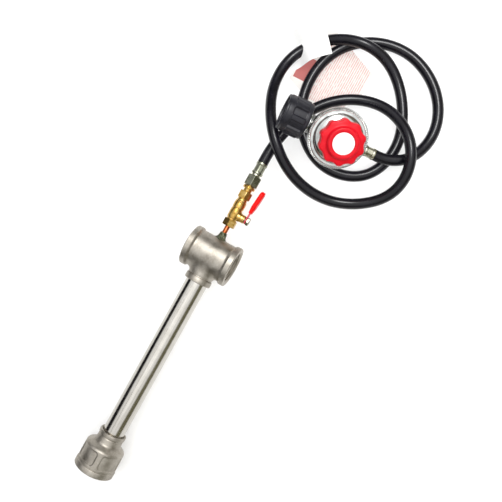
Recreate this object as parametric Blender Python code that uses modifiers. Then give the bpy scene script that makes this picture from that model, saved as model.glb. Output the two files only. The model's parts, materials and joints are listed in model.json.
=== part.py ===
"""Propane torch: a flame bell on a burner tube, an air-intake tee with a gas jet, a ball valve with a lever,
a rubber hose and an adjustable regulator with its cylinder nut. The torch lies flat with its hose coiled loosely.

Sizes are in millimetres and helpers turn them to metres. A "station" is a distance along the burner's axis, from
the mouth of the flame bell towards the hose. Every turned piece is drawn as (radius, height) points.
"""

import math

import bmesh
import bpy
import numpy as np
from mathutils import Matrix, Vector

MM = 0.001
GAP = 0.3  # between two pieces that would touch

# Burner: flame bell, tube and intake tee, all on the burner's axis
REST_R = 25.0  # radius of the bell's and the tee's bands, which the torch lies on
BELL_LENGTH = 50.0
BELL_BAND = 7.5
BELL_BODY_R = 24.2
BELL_PANELS = 4
BELL_PANEL_DEPTH = 1.3
BELL_PANEL_ARC = math.radians(77)
BELL_PANEL_TURN = math.radians(11)  # how far the uppermost rib between two panels lies from the top
BELL_SHOULDER = 20.5  # from the end of the bell's wide body to the collar's face
BELL_COLLAR = 12.0
BELL_COLLAR_WALL = 3.15  # outside the tube
BELL_NECK_WALL = 2.35
PIPE_R = 13.35
PIPE_BORE_R = 10.45
TUBE_LENGTH = 228.6
SOCKET = 12.0  # how far the tube reaches into the bell and into the tee
TEE_HALF = 30.0
TEE_BAND = 7.5
TEE_BODY_R = 22.9
TEE_BORE_R = 17.5
TEE_THREAD_R = 19.4
TEE_REACH = 35.5  # from the run's axis to the branch's face
TEE_COLLAR_WALL = 3.15

# Gas path from the tee to the hose
JET_R = 3.0
JET_BORE_R = 1.4
JET_LENGTH = 58.0
JET_TIP_LENGTH = 16.0
VALVE_GAP = 17.1  # from the tee's back wall to the valve
VALVE_HEX = 14.4
RETAINER_HEX = 14.8
VALVE_HEX_LENGTH = 9.0
VALVE_R = 7.2
VALVE_LENGTH = 33.5
STEM_STATION = 16.0  # the stem's axis, from the valve's lower end
GAS_BORE_R = 2.5
BALL_R = 5.2
CHAMBER_R = 5.8
BOSS_R = 5.0
BOSS_REACH = 14.0
STEM_R = 2.0
STEM_REACH = 20.5
LEVER_OUT = 15.2
LEVER_THICK = 1.5
LEVER_WIDE = 9.0
LEVER_LENGTH = 38.0
LEVER_BEND = 7.0  # where it bends outwards, from the stem
LEVER_STEP = 2.6  # how much further out its tip stands than its eye
LEVER_NUT = 9.0
SLEEVE_WALL = 1.4
SLEEVE_LENGTH = 30.0
NUT_HEX = 16.0
NUT_LENGTH = 13.0
FERRULE_OVER = 0.4  # how far it stands out past the hose
FERRULE_LENGTH = 14.5

# Hose
HOSE_R = 6.5
HOSE_POINTS = 80
HOSE_STRAIGHT = 6.0  # how far it runs straight out of each ferrule
COIL_INSET = 15.1  # from the burner ferrule's open end back to the point that the coil is measured from

# Regulator: its frame stands at the back face of the cylinder nut, Z out of the nut and X up the knob's axis
REG_AT = (-77.0, 26.5, 51.0)  # from the coil's point, as the hose's route and the papers are
REG_HEADING = math.radians(-84.7)
REG_PITCH = math.radians(17.0)
REG_ROLL = math.radians(-17.0)
KNOB_AXIS = -37.0  # where the knob's axis crosses the body's, from the nut
KNOB_LIFT = 3.4  # how far the knob's frame stands above the gas path's axis
RIM_R = 34.3
RIM_LOW = 8.7
RIM_HIGH = 17.2
FLANGE_R = 32.9
INLET_R = 11.0
OUTLET_R = 9.2
OUTLET_END = -72.0
BONNET_NECK_R = 11.5
BONNET_TOP = 36.0
SCREW_R = 4.0
KNOB_R = 25.5
KNOB_LOBES = 10
KNOB_NOTCH_R = 11.0
KNOB_NOTCH_DEPTH = 2.2
KNOB_WALL = 2.1  # behind a notch
KNOB_LOW = 33.5
KNOB_SHOULDER = 49.0
KNOB_TOP = 55.0
KNOB_RING_R = 18.2
LABEL_R = 11.9
CYL_NUT_BORE_R = 17.4
CYL_NUT_WALL = 4.9
CYL_NUT_LENGTH = 30.0
CYL_NUT_RIBS = 9
CYL_NUT_RIB_HIGH = 1.0
CYL_NUT_RIB = 5.0  # width of a rib
NIPPLE_R = 6.2
NOSE_R = 5.2

# Papers
PAPER = 0.5
CARD_WIDE = 46.0
CARD_HIGH = 24.5  # height of the card's raised half, above the hose

# Round segments
FINE = 28
MEDIUM = 18
COARSE = 12

COLOURS = {
    "stainless_cast": ((0.50, 0.48, 0.44), 0.38, 1.0),
    "stainless_tube": ((0.72, 0.71, 0.68), 0.16, 1.0),
    "copper": ((0.60, 0.26, 0.14), 0.35, 1.0),
    "braze": ((0.13, 0.11, 0.09), 0.6, 0.6),
    "brass": ((0.72, 0.48, 0.14), 0.25, 1.0),
    "ball_chrome": ((0.80, 0.80, 0.80), 0.1, 1.0),
    "ptfe": ((0.86, 0.86, 0.84), 0.5, 0.0),
    "zinc_plate": ((0.42, 0.42, 0.36), 0.3, 1.0),
    "lever_steel": ((0.55, 0.52, 0.50), 0.35, 1.0),
    "red_vinyl": ((0.90, 0.03, 0.02), 0.35, 0.0),
    "hose_rubber": ((0.022, 0.020, 0.026), 0.3, 0.0),
    "die_cast": ((0.60, 0.61, 0.60), 0.4, 1.0),
    "cover_plate": ((0.74, 0.75, 0.74), 0.2, 1.0),
    "black_rubber": ((0.03, 0.03, 0.03), 0.6, 0.0),
    "spring_steel": ((0.45, 0.45, 0.44), 0.3, 1.0),
    "knob_red": ((0.80, 0.03, 0.05), 0.4, 0.0),
    "label_white": ((0.9, 0.9, 0.9), 0.5, 0.0),
    "nut_black": ((0.045, 0.045, 0.055), 0.5, 0.0),
    "bushing_black": ((0.03, 0.03, 0.03), 0.5, 0.0),
    "paper": ((0.88, 0.86, 0.84), 0.8, 0.0),
}

# The hose's route from the burner to the regulator, in millimetres from the coil's point
ROUTE = [
    (-68, 7, 24.2), (-96, 18, 20.8), (-119, 35, 16.5), (-136, 61, 14.8), (-141, 91, 17.8),
    (-132, 119, 25.0), (-111, 142, 30.8), (-85, 153, 28.2), (-56, 149, 16.5), (-31, 125, 8.2),
    (-16, 91, 8.8), (-15, 54, 20.0), (-28, 22, 34.0), (-50, -3, 39.4), (-79, -24, 30.0),
    (-114, -37, 16.0), (-148, -35, 9.4), (-175, -17, 11.4), (-190, 9, 19.8), (-196, 39, 23.0),
    (-192, 70, 14.5), (-174, 96, 8.2), (-148, 115, 7.3), (-120, 126, 7.3), (-90, 126, 7.3),
    (-64, 113, 7.3), (-50, 87, 7.3), (-51, 56, 7.3), (-68, 27, 7.3), (-97, 6, 7.3),
    (-129, -2, 7.3), (-164, 2, 7.3), (-193, 20, 7.3), (-211, 51, 7.3), (-214, 87, 7.3),
    (-200, 122, 7.3), (-173, 148, 7.3), (-143, 158, 7.8), (-115, 154, 11.6), (-95, 140, 18.4),
]

# Radii and stations that follow from the sizes above
BELL_NECK_R = PIPE_R + BELL_NECK_WALL
BELL_COLLAR_R = PIPE_R + BELL_COLLAR_WALL
TEE_COLLAR_R = PIPE_R + TEE_COLLAR_WALL
FERRULE_R = HOSE_R + FERRULE_OVER
CYL_NUT_R = CYL_NUT_BORE_R + CYL_NUT_WALL
CYL_NUT_BODY_R = CYL_NUT_R - CYL_NUT_RIB_HIGH
BELL_BODY_TO = BELL_LENGTH - BELL_SHOULDER
TUBE_FROM = BELL_LENGTH - SOCKET
TUBE_TO = TUBE_FROM + TUBE_LENGTH
BRANCH_FACE = TUBE_TO - SOCKET
TEE_STATION = BRANCH_FACE + TEE_REACH
TEE_BACK = TEE_STATION + TEE_BODY_R
VALVE_FROM = TEE_BACK + VALVE_GAP
VALVE_TO = VALVE_FROM + VALVE_LENGTH
STEM_AT = VALVE_FROM + STEM_STATION
HEX_FROM = VALVE_TO + 4.0
HEX_TO = HEX_FROM + 9.0
FLANGE_FROM = HEX_TO + 4.0
NUT_FROM = FLANGE_FROM + 4.0
NUT_TO = NUT_FROM + NUT_LENGTH
FERRULE_FROM = NUT_TO + 3.0
FERRULE_TO = FERRULE_FROM + FERRULE_LENGTH
COIL_FROM = FERRULE_TO - COIL_INSET
REG_FERRULE_FROM = OUTLET_END - 2.4
REG_FERRULE_TO = REG_FERRULE_FROM - 13.0


def clear_scene():
    for old in list(bpy.data.objects):
        bpy.data.objects.remove(old, do_unlink=True)
    for old in list(bpy.data.collections):
        bpy.data.collections.remove(old)


def material(name):
    found = bpy.data.materials.get(name)
    if found:
        return found
    colour, roughness, metallic = COLOURS[name]
    made = bpy.data.materials.new(name)
    made.use_nodes = True
    shader = made.node_tree.nodes["Principled BSDF"]
    shader.inputs["Base Color"].default_value = (*colour, 1.0)
    shader.inputs["Roughness"].default_value = roughness
    shader.inputs["Metallic"].default_value = metallic
    made.diffuse_color = (*colour, 1.0)
    return made


def empty(name, parent=None, matrix=None):
    made = bpy.data.objects.new(name, None)
    made.empty_display_size = 0.02
    parts.objects.link(made)
    made.parent = parent
    if matrix is not None:
        made.matrix_basis = matrix
    return made


def place(made, parent, colour=None):
    """Puts an object in the parts, or among the cutters where it has no colour."""
    (parts if colour else cutters).objects.link(made)
    made.parent = parent
    if colour:
        made.data.materials.append(material(colour))
    else:
        made.hide_render = True
        made.display_type = "WIRE"
    return made


def from_bmesh(name, shape, parent, colour=None, smooth=True):
    bmesh.ops.recalc_face_normals(shape, faces=shape.faces)
    mesh = bpy.data.meshes.new(name)
    shape.to_mesh(mesh)
    shape.free()
    if smooth:
        mesh.shade_smooth()
        mesh.set_sharp_from_angle(angle=math.radians(35))
    return place(bpy.data.objects.new(name, mesh), parent, colour)


def turned(name, parent, profile, colour=None, steps=MEDIUM, matrix=None):
    """A profile of (radius, height) points turned round the parent's Z. It closes on itself, or on the axis."""
    points = [(r * MM, z * MM) for r, z in profile]
    area = sum(a[0] * b[1] - b[0] * a[1] for a, b in zip(points, points[1:] + points[:1]))
    if area > 0:
        points.reverse()
    on_axis = [i for i, point in enumerate(points) if point[0] == 0.0]
    if on_axis:
        while not (points[0][0] == 0.0 and points[-1][0] == 0.0):
            points.append(points.pop(0))
    mesh = bpy.data.meshes.new(name)
    edges = [(i, i + 1) for i in range(len(points) - 1)]
    if not on_axis:
        edges.append((len(points) - 1, 0))
    mesh.from_pydata([(r, 0.0, z) for r, z in points], edges, [])
    made = place(bpy.data.objects.new(name, mesh), parent, colour)
    screw = made.modifiers.new("Turn", "SCREW")
    screw.axis = "Z"
    screw.angle = math.tau
    screw.steps = steps
    screw.render_steps = steps
    screw.use_merge_vertices = True
    screw.merge_threshold = 1e-5
    screw.use_smooth_shade = True
    if matrix is not None:
        made.matrix_basis = matrix
    return made


def prism(name, parent, across, low, high, colour=None, sides=6, turn=0.0, matrix=None):
    """A prism with flats this far across, standing on the parent's Z."""
    shape = bmesh.new()
    radius = across / 2 / math.cos(math.pi / sides) * MM
    bmesh.ops.create_cone(
        shape, cap_ends=True, segments=sides, radius1=radius, radius2=radius, depth=(high - low) * MM
    )
    bmesh.ops.rotate(shape, verts=shape.verts, cent=(0, 0, 0), matrix=Matrix.Rotation(turn, 3, "Z"))
    bmesh.ops.translate(shape, verts=shape.verts, vec=(0, 0, (low + high) / 2 * MM))
    bmesh.ops.bevel(
        shape, geom=shape.edges, offset=0.35 * MM, segments=1, affect="EDGES", profile=0.5, material=-1
    )
    made = from_bmesh(name, shape, parent, colour)
    if matrix is not None:
        made.matrix_basis = matrix
    return made


def box(name, parent, low, high, colour=None, bevel=0.0, segments=2, matrix=None):
    shape = bmesh.new()
    bmesh.ops.create_cube(shape, size=1.0)
    size = [(b - a) * MM for a, b in zip(low, high)]
    middle = [(a + b) / 2 * MM for a, b in zip(low, high)]
    bmesh.ops.scale(shape, verts=shape.verts, vec=size)
    bmesh.ops.translate(shape, verts=shape.verts, vec=middle)
    if bevel:
        bmesh.ops.bevel(
            shape, geom=shape.edges, offset=bevel * MM, segments=segments, affect="EDGES", profile=0.5,
            material=-1,
        )
    made = from_bmesh(name, shape, parent, colour)
    if matrix is not None:
        made.matrix_basis = matrix
    return made


def sector(name, parent, inner, outer, low, high, middle, width, steps=3):
    """A cutter: the part of a ring between two radii and two heights, this many radians wide."""
    shape = bmesh.new()
    corners = [(inner, low), (outer, low), (outer, high), (inner, high)]
    start = Matrix.Rotation(middle - width / 2, 3, "Z")
    verts = [shape.verts.new(start @ Vector((r * MM, 0, z * MM))) for r, z in corners]
    face = shape.faces.new(verts)
    bmesh.ops.spin(
        shape, geom=[face], cent=(0, 0, 0), axis=(0, 0, 1), angle=width, steps=steps, use_duplicate=False
    )
    return from_bmesh(name, shape, parent)


def combine(target, other, operation):
    made = target.modifiers.new(other.name, "BOOLEAN")
    made.operation = operation
    made.solver = "EXACT"
    made.object = other


def cut(target, *others):
    for other in others:
        combine(target, other, "DIFFERENCE")


def join(target, *others):
    for other in others:
        combine(target, other, "UNION")


def shift(z):
    return Matrix.Translation((0, 0, z * MM))


def smooth_curve(points, count):
    """Points spaced along the natural cubic spline through the given ones."""
    points = np.array(points, dtype=float)
    knots = np.concatenate([[0.0], np.cumsum(np.linalg.norm(np.diff(points, axis=0), axis=1))])
    gaps = np.diff(knots)
    last = len(points) - 1
    system = np.eye(last + 1)
    slopes = np.diff(points, axis=0) / gaps[:, None]
    right = np.zeros_like(points)
    for i in range(1, last):
        system[i, i - 1 : i + 2] = gaps[i - 1], 2 * (gaps[i - 1] + gaps[i]), gaps[i]
        right[i] = 6 * (slopes[i] - slopes[i - 1])
    second = np.linalg.solve(system, right)
    at = np.linspace(0, knots[-1], count)
    k = np.clip(np.searchsorted(knots, at, side="right") - 1, 0, last - 1)
    gap = gaps[k][:, None]
    before = (at - knots[k])[:, None]
    after = (knots[k + 1] - at)[:, None]
    bend = (second[k] * after**3 + second[k + 1] * before**3) / (6 * gap)
    lean = (points[k] / gap - second[k] * gap / 6) * after + (points[k + 1] / gap - second[k + 1] * gap / 6) * before
    return bend + lean


def tube_along(name, parent, points, radius, colour=None, resolution=3):
    data = bpy.data.curves.new(name, "CURVE")
    data.dimensions = "3D"
    data.bevel_depth = radius * MM
    data.bevel_resolution = resolution
    data.use_fill_caps = True
    spline = data.splines.new("POLY")
    spline.points.add(len(points) - 1)
    for point, place_at in zip(spline.points, points):
        point.co = (*(value * MM for value in place_at), 1.0)
    made = bpy.data.objects.new(name, data)
    return place(made, parent, colour)


def as_mesh(made):
    """The object's evaluated shape as a mesh object of the same name, which a Boolean can use."""
    bpy.context.view_layer.update()
    graph = bpy.context.evaluated_depsgraph_get()
    mesh = bpy.data.meshes.new_from_object(made.evaluated_get(graph))
    shape = bmesh.new()
    shape.from_mesh(mesh)
    bmesh.ops.remove_doubles(shape, verts=shape.verts, dist=1e-6)
    shape.to_mesh(mesh)
    shape.free()
    name, parent, is_cutter = made.name, made.parent, made.hide_render
    matrix = made.matrix_basis.copy()
    bpy.data.objects.remove(made, do_unlink=True)
    again = bpy.data.objects.new(name, mesh)
    (cutters if is_cutter else parts).objects.link(again)
    again.parent = parent
    again.matrix_basis = matrix
    again.hide_render = is_cutter
    again.display_type = "WIRE" if is_cutter else "TEXTURED"
    return again


def coil(name, parent, radius, wire, low, high, turns, colour, per_turn=10):
    """A compression spring about the parent's X axis, from low to high."""
    count = int(turns * per_turn)
    reach = high - low - 2 * wire
    points = []
    for i in range(count + 1):
        angle = math.tau * i / per_turn
        points.append((low + wire + reach * i / count, radius * math.cos(angle), radius * math.sin(angle)))
    return tube_along(name, parent, points, wire, colour, resolution=1)


def flame_bell(axis):
    body = turned(
        "flame_bell",
        axis,
        [
            (20.8, 0.0), (24.4, 0.0), (REST_R, 0.6), (REST_R, BELL_BAND), (BELL_BODY_R, BELL_BAND + 0.8),
            (BELL_BODY_R, BELL_BODY_TO), (23.0, BELL_BODY_TO + 2.0), (BELL_NECK_R + 2.3, BELL_BODY_TO + 6.0),
            (BELL_NECK_R, BELL_LENGTH - BELL_COLLAR),
            (BELL_NECK_R, BELL_LENGTH - 6.4), (BELL_NECK_R - 0.6, BELL_LENGTH - 6.0),
            (BELL_NECK_R - 0.6, BELL_LENGTH - 5.2), (BELL_COLLAR_R, BELL_LENGTH - 4.8),
            (BELL_COLLAR_R, BELL_LENGTH - 0.6), (BELL_COLLAR_R - 0.6, BELL_LENGTH), (PIPE_R + 1.1, BELL_LENGTH),
            (PIPE_R + GAP, BELL_LENGTH - 0.8), (PIPE_R + GAP, TUBE_FROM - GAP),
            (PIPE_BORE_R + 0.4, TUBE_FROM - GAP), (PIPE_BORE_R + 0.4, BELL_BODY_TO + 4.0),
            (19.6, BELL_BODY_TO - 3.5), (20.0, 2.0),
        ],
        "stainless_cast",
        FINE,
    )
    for i in range(BELL_PANELS):
        panel = sector(
            f"bell_panel_cutter_{i}", axis, BELL_BODY_R - BELL_PANEL_DEPTH, REST_R + 2, BELL_BAND + 2.2,
            BELL_BODY_TO - 1.0, math.tau * (i + 0.5) / BELL_PANELS + BELL_PANEL_TURN, BELL_PANEL_ARC, 5,
        )
        cut(body, panel)
    return body


def burner_tube(axis):
    return turned(
        "burner_tube",
        axis,
        [
            (PIPE_BORE_R, TUBE_FROM + 0.5), (PIPE_BORE_R + 0.5, TUBE_FROM), (PIPE_R - 0.8, TUBE_FROM),
            (PIPE_R, TUBE_FROM + 0.8), (PIPE_R, TUBE_TO - 0.8), (PIPE_R - 0.8, TUBE_TO),
            (PIPE_BORE_R + 0.5, TUBE_TO), (PIPE_BORE_R, TUBE_TO - 0.5),
        ],
        "stainless_tube",
        FINE,
    )


def intake_tee(axis, run):
    """The run lies across the burner's axis and its open ends draw in the air."""
    groove = TEE_HALF - TEE_BAND
    half = [
        (REST_R - 0.8, TEE_HALF), (REST_R, TEE_HALF - 0.8), (REST_R, groove), (TEE_BODY_R + 1.1, groove - 1.2),
        (TEE_BODY_R, groove - 3.2),
    ]
    outline = [(0.0, TEE_HALF), *half, *((r, -z) for r, z in reversed(half)), (0.0, -TEE_HALF)]
    body = turned("intake_tee", run, outline, "stainless_cast", FINE)
    branch = turned(
        "tee_branch",
        axis,
        [
            (0.0, BRANCH_FACE), (TEE_COLLAR_R - 0.6, BRANCH_FACE), (TEE_COLLAR_R, BRANCH_FACE + 0.6),
            (TEE_COLLAR_R, BRANCH_FACE + 7.0), (TEE_COLLAR_R - 1.0, BRANCH_FACE + 8.2),
            (TEE_COLLAR_R - 0.6, BRANCH_FACE + 10.5), (TEE_COLLAR_R + 2.2, BRANCH_FACE + 15.0),
            (TEE_COLLAR_R + 3.0, TEE_STATION), (0.0, TEE_STATION),
        ],
        None,
        FINE,
    )
    join(body, branch)
    run_bore = turned(
        "tee_run_bore",
        run,
        [
            (0.0, TEE_HALF + 5), (TEE_THREAD_R + 0.9, TEE_HALF + 5), (TEE_THREAD_R + 0.9, TEE_HALF - 0.6),
            (TEE_THREAD_R, TEE_HALF - 1.6), (TEE_THREAD_R - 0.3, 17.0), (TEE_BORE_R, 15.0), (TEE_BORE_R, -15.0),
            (TEE_THREAD_R - 0.3, -17.0), (TEE_THREAD_R, 1.6 - TEE_HALF), (TEE_THREAD_R + 0.9, 0.6 - TEE_HALF),
            (TEE_THREAD_R + 0.9, -5 - TEE_HALF), (0.0, -5 - TEE_HALF),
        ],
        None,
        FINE,
    )
    branch_bore = turned(
        "tee_branch_bore",
        axis,
        [
            (0.0, BRANCH_FACE - 5), (PIPE_R + GAP, BRANCH_FACE - 5), (PIPE_R + GAP, TUBE_TO + GAP),
            (PIPE_BORE_R + 0.4, TUBE_TO + GAP + 0.8), (PIPE_BORE_R + 0.4, TEE_STATION), (0.0, TEE_STATION),
        ],
        None,
        MEDIUM,
    )
    jet_hole = turned(
        "tee_jet_hole",
        axis,
        [(0.0, TEE_STATION), (JET_R + GAP, TEE_STATION), (JET_R + GAP, TEE_BACK + 5), (0.0, TEE_BACK + 5)],
        None,
        COARSE,
    )
    cut(body, run_bore, branch_bore, jet_hole)
    return body


def gas_jet(axis, run):
    pipe_to = VALVE_FROM + 6.0
    pipe_from = pipe_to - JET_LENGTH
    turned(
        "jet_pipe",
        axis,
        [(JET_BORE_R, pipe_from), (JET_R, pipe_from), (JET_R, pipe_to), (JET_BORE_R, pipe_to)],
        "copper",
        COARSE,
    )
    tip_to = pipe_from + 5.0
    tip_from = tip_to - JET_TIP_LENGTH
    turned(
        "jet_nozzle",
        axis,
        [
            (0.6, tip_from), (1.6, tip_from), (4.2, tip_from + 4.5), (4.6, tip_from + 5.5), (4.6, tip_to),
            (JET_R + GAP, tip_to), (JET_R + GAP, pipe_from - GAP), (0.6, pipe_from - GAP - 1.0),
        ],
        "brass",
        COARSE,
    )
    fillet = turned(
        "braze_fillet",
        axis,
        [
            (JET_R + GAP, TEE_BACK - 3.0), (7.4, TEE_BACK - 3.0), (7.0, TEE_BACK), (5.8, TEE_BACK + 1.6),
            (4.7, TEE_BACK + 4.2), (4.0, TEE_BACK + 8.0), (JET_R + 0.6, TEE_BACK + 8.5),
            (JET_R + GAP, TEE_BACK + 8.5),
        ],
        "braze",
        MEDIUM,
    )
    saddle = turned(
        "fillet_saddle",
        run,
        [(0.0, 15.0), (TEE_BODY_R + GAP, 15.0), (TEE_BODY_R + GAP, -15.0), (0.0, -15.0)],
        None,
        2 * FINE,
    )
    cut(fillet, saddle)


def ball_valve(axis, stem):
    socket = VALVE_FROM + 6.0 + GAP
    body = prism("valve_body", axis, VALVE_HEX, VALVE_FROM, VALVE_FROM + VALVE_HEX_LENGTH, "brass")
    barrel = turned(
        "valve_barrel",
        axis,
        [
            (0.0, VALVE_FROM + 3), (5.5, VALVE_FROM + 3), (6.4, VALVE_FROM + VALVE_HEX_LENGTH + 0.4),
            (VALVE_R - 0.5, VALVE_FROM + 11.0), (VALVE_R, VALVE_FROM + 11.6), (VALVE_R, VALVE_TO - 0.8),
            (VALVE_R - 0.8, VALVE_TO), (0.0, VALVE_TO),
        ],
    )
    boss = turned(
        "valve_boss",
        stem,
        [
            (0.0, 0.0), (BOSS_R + 0.6, 0.0), (BOSS_R + 0.6, 8.6), (BOSS_R, 9.4), (BOSS_R, BOSS_REACH - 0.5),
            (BOSS_R - 0.5, BOSS_REACH), (0.0, BOSS_REACH),
        ],
        None,
        MEDIUM,
    )
    join(body, barrel, boss)
    bore = turned(
        "valve_bore",
        axis,
        [
            (0.0, VALVE_FROM - 3), (JET_R + GAP, VALVE_FROM - 3), (JET_R + GAP, socket), (GAS_BORE_R, socket + 0.8),
            (GAS_BORE_R, STEM_AT - 6.6), (CHAMBER_R, STEM_AT - 6.6), (CHAMBER_R, VALVE_TO + 3), (0.0, VALVE_TO + 3),
        ],
        None,
        MEDIUM,
    )
    stem_bore = turned(
        "stem_bore",
        stem,
        [
            (0.0, 0.0), (STEM_R + GAP, 0.0), (STEM_R + GAP, 7.7), (3.9, 7.7), (3.9, BOSS_REACH + 3),
            (0.0, BOSS_REACH + 3),
        ],
        None,
        COARSE,
    )
    cut(body, bore, stem_bore)

    seat = [(3.0, 4.8), (3.0, 6.3), (CHAMBER_R - 0.2, 6.3), (CHAMBER_R - 0.2, 3.6), (4.3, 3.6)]
    for name, side in (("ball_seat_lower", -1), ("ball_seat_upper", 1)):
        turned(name, axis, [(r, STEM_AT + side * z) for r, z in seat], "ptfe", COARSE)

    retainer = turned(
        "valve_retainer",
        axis,
        [
            (GAS_BORE_R, STEM_AT + 6.6), (CHAMBER_R - GAP, STEM_AT + 6.6), (CHAMBER_R - GAP, VALVE_TO + GAP),
            (VALVE_R - 1.0, VALVE_TO + GAP), (VALVE_R - 1.0, HEX_FROM + 1), (6.9, HEX_FROM + 1), (6.9, HEX_TO),
            (4.4, HEX_TO), (4.4, HEX_FROM + 3.0), (GAS_BORE_R, HEX_FROM + 2.2),
        ],
        "brass",
        MEDIUM,
    )
    hexagon = prism("retainer_hex", axis, RETAINER_HEX, HEX_FROM, HEX_TO)
    hex_bore = turned(
        "retainer_hex_bore",
        axis,
        [(0.0, HEX_FROM - 1), (5.6, HEX_FROM - 1), (5.6, HEX_TO + 1), (0.0, HEX_TO + 1)],
        None,
        MEDIUM,
    )
    cut(hexagon, hex_bore)
    join(retainer, hexagon)

    turned(
        "flare_nipple",
        axis,
        [
            (1.9, HEX_FROM + 3.4), (4.0, HEX_FROM + 3.4), (4.0, HEX_TO + GAP), (5.0, HEX_TO + GAP),
            (5.0, FLANGE_FROM), (7.2, FLANGE_FROM), (7.4, FLANGE_FROM + 0.4), (7.4, FLANGE_FROM + 2.6),
            (6.0, FLANGE_FROM + 3.6), (4.6, FLANGE_FROM + 3.6), (4.6, NUT_FROM + 7.6), (2.6, NUT_FROM + 9.2),
            (1.9, NUT_FROM + 9.2),
        ],
        "brass",
        MEDIUM,
    )


def valve_handle(stem):
    """Everything here turns with the lever. The stem's frame has Z out along the stem and X up."""
    shape = bmesh.new()
    bmesh.ops.create_uvsphere(shape, u_segments=MEDIUM, v_segments=COARSE, radius=BALL_R * MM)
    ball = from_bmesh("valve_ball", shape, stem, "ball_chrome")
    quarter = Matrix.Rotation(math.pi / 2, 4, "X")
    through = turned(
        "ball_bore", stem, [(0.0, -8), (GAS_BORE_R, -8), (GAS_BORE_R, 8), (0.0, 8)], None, COARSE, quarter
    )
    slot = box("ball_slot", stem, (-1.3, -6.5, 3.2), (1.3, 6.5, 7.0))
    cut(ball, through, slot)

    rod = turned(
        "valve_stem",
        stem,
        [
            (0.0, 5.6), (STEM_R, 5.6), (STEM_R, LEVER_OUT + LEVER_THICK), (STEM_R - 0.2, STEM_REACH),
            (0.0, STEM_REACH),
        ],
        "zinc_plate",
        COARSE,
    )
    tang = box("stem_tang", stem, (-1.0, -1.7, 3.6), (1.0, 1.7, 6.6))
    join(rod, tang)

    turned(
        "stem_packing",
        stem,
        [(STEM_R + GAP, 8.0), (3.6, 8.0), (3.6, 11.5), (STEM_R + GAP, 11.5)],
        "ptfe",
        COARSE,
    )
    turned(
        "gland_nut",
        stem,
        [
            (STEM_R + GAP, 11.8), (3.6, 11.8), (3.6, BOSS_REACH + GAP), (BOSS_R - 0.6, BOSS_REACH + GAP),
            (BOSS_R - 0.6, LEVER_OUT - GAP), (STEM_R + GAP, LEVER_OUT - GAP),
        ],
        "brass",
        COARSE,
    )

    out = LEVER_OUT + LEVER_THICK / 2
    line = [(4.0, out), (-LEVER_BEND, out), (-LEVER_LENGTH, out + LEVER_STEP)]
    shape = bmesh.new()
    rows = [
        [shape.verts.new((x * MM, y * MM, z * MM)) for y, z in line] for x in (-LEVER_WIDE / 2, LEVER_WIDE / 2)
    ]
    for i in range(len(line) - 1):
        shape.faces.new((rows[0][i], rows[1][i], rows[1][i + 1], rows[0][i + 1]))
    lever = from_bmesh("valve_lever", shape, stem, "lever_steel", smooth=False)
    skin = lever.modifiers.new("Strip", "SOLIDIFY")
    skin.thickness = LEVER_THICK * MM
    skin.offset = 0.0
    skin.use_even_offset = True
    eye = turned(
        "lever_eye",
        stem,
        [(0.0, LEVER_OUT - 2), (STEM_R + 0.2, LEVER_OUT - 2), (STEM_R + 0.2, STEM_REACH), (0.0, STEM_REACH)],
        None,
        COARSE,
    )
    cut(lever, eye)

    lean = math.atan2(LEVER_STEP, LEVER_LENGTH - LEVER_BEND)
    handle = Matrix.Translation((0, -LEVER_BEND * MM, out * MM)) @ Matrix.Rotation(-lean, 4, "X")
    strip_end = -math.hypot(LEVER_STEP, LEVER_LENGTH - LEVER_BEND)
    tip = strip_end - 1.8
    root = tip + SLEEVE_LENGTH
    half_wide = LEVER_WIDE / 2 + GAP
    half_thick = LEVER_THICK / 2 + GAP
    sleeve = box(
        "lever_sleeve",
        stem,
        (-half_wide - SLEEVE_WALL, tip, -half_thick - SLEEVE_WALL),
        (half_wide + SLEEVE_WALL, root, half_thick + SLEEVE_WALL),
        "red_vinyl",
        1.5,
        matrix=handle,
    )
    pocket = box(
        "sleeve_pocket",
        stem,
        (-half_wide, strip_end - GAP, -half_thick),
        (half_wide, root + 3, half_thick),
        matrix=handle,
    )
    cut(sleeve, pocket)

    nut_low = LEVER_OUT + LEVER_THICK + GAP
    nut = prism("lever_nut", stem, LEVER_NUT, nut_low, nut_low + 3.4, "zinc_plate")
    nut_bore = turned(
        "lever_nut_bore",
        stem,
        [(0.0, nut_low - 1), (STEM_R + 0.2, nut_low - 1), (STEM_R + 0.2, nut_low + 5), (0.0, nut_low + 5)],
        None,
        COARSE,
    )
    cut(nut, nut_bore)


def hose_coupling(axis):
    nut = prism("swivel_nut", axis, NUT_HEX, NUT_FROM, NUT_TO, "zinc_plate")
    bore = turned(
        "swivel_nut_bore",
        axis,
        [
            (0.0, NUT_FROM - 2), (4.6 + GAP, NUT_FROM - 2), (4.6 + GAP, NUT_TO - 1.6), (4.0 + GAP, NUT_TO - 1.2),
            (4.0 + GAP, NUT_TO + 2), (0.0, NUT_TO + 2),
        ],
        None,
        MEDIUM,
    )
    cut(nut, bore)
    turned(
        "hose_tail",
        axis,
        [
            (1.8, NUT_FROM + 9.5), (4.5, NUT_FROM + 9.5), (4.5, NUT_TO - 2.0), (4.0, NUT_TO - 1.7),
            (4.0, NUT_TO + 0.8), (5.6, NUT_TO + 0.8), (5.6, FERRULE_FROM - GAP), (3.1, FERRULE_FROM - GAP),
            (3.3, FERRULE_FROM + 3), (2.9, FERRULE_FROM + 3.2), (3.3, FERRULE_FROM + 7), (2.9, FERRULE_FROM + 7.2),
            (3.3, FERRULE_TO - 2), (2.6, FERRULE_TO), (1.8, FERRULE_TO),
        ],
        "zinc_plate",
        COARSE,
    )
    turned("burner_ferrule", axis, ferrule_profile(FERRULE_FROM, FERRULE_TO), "zinc_plate")


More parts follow.
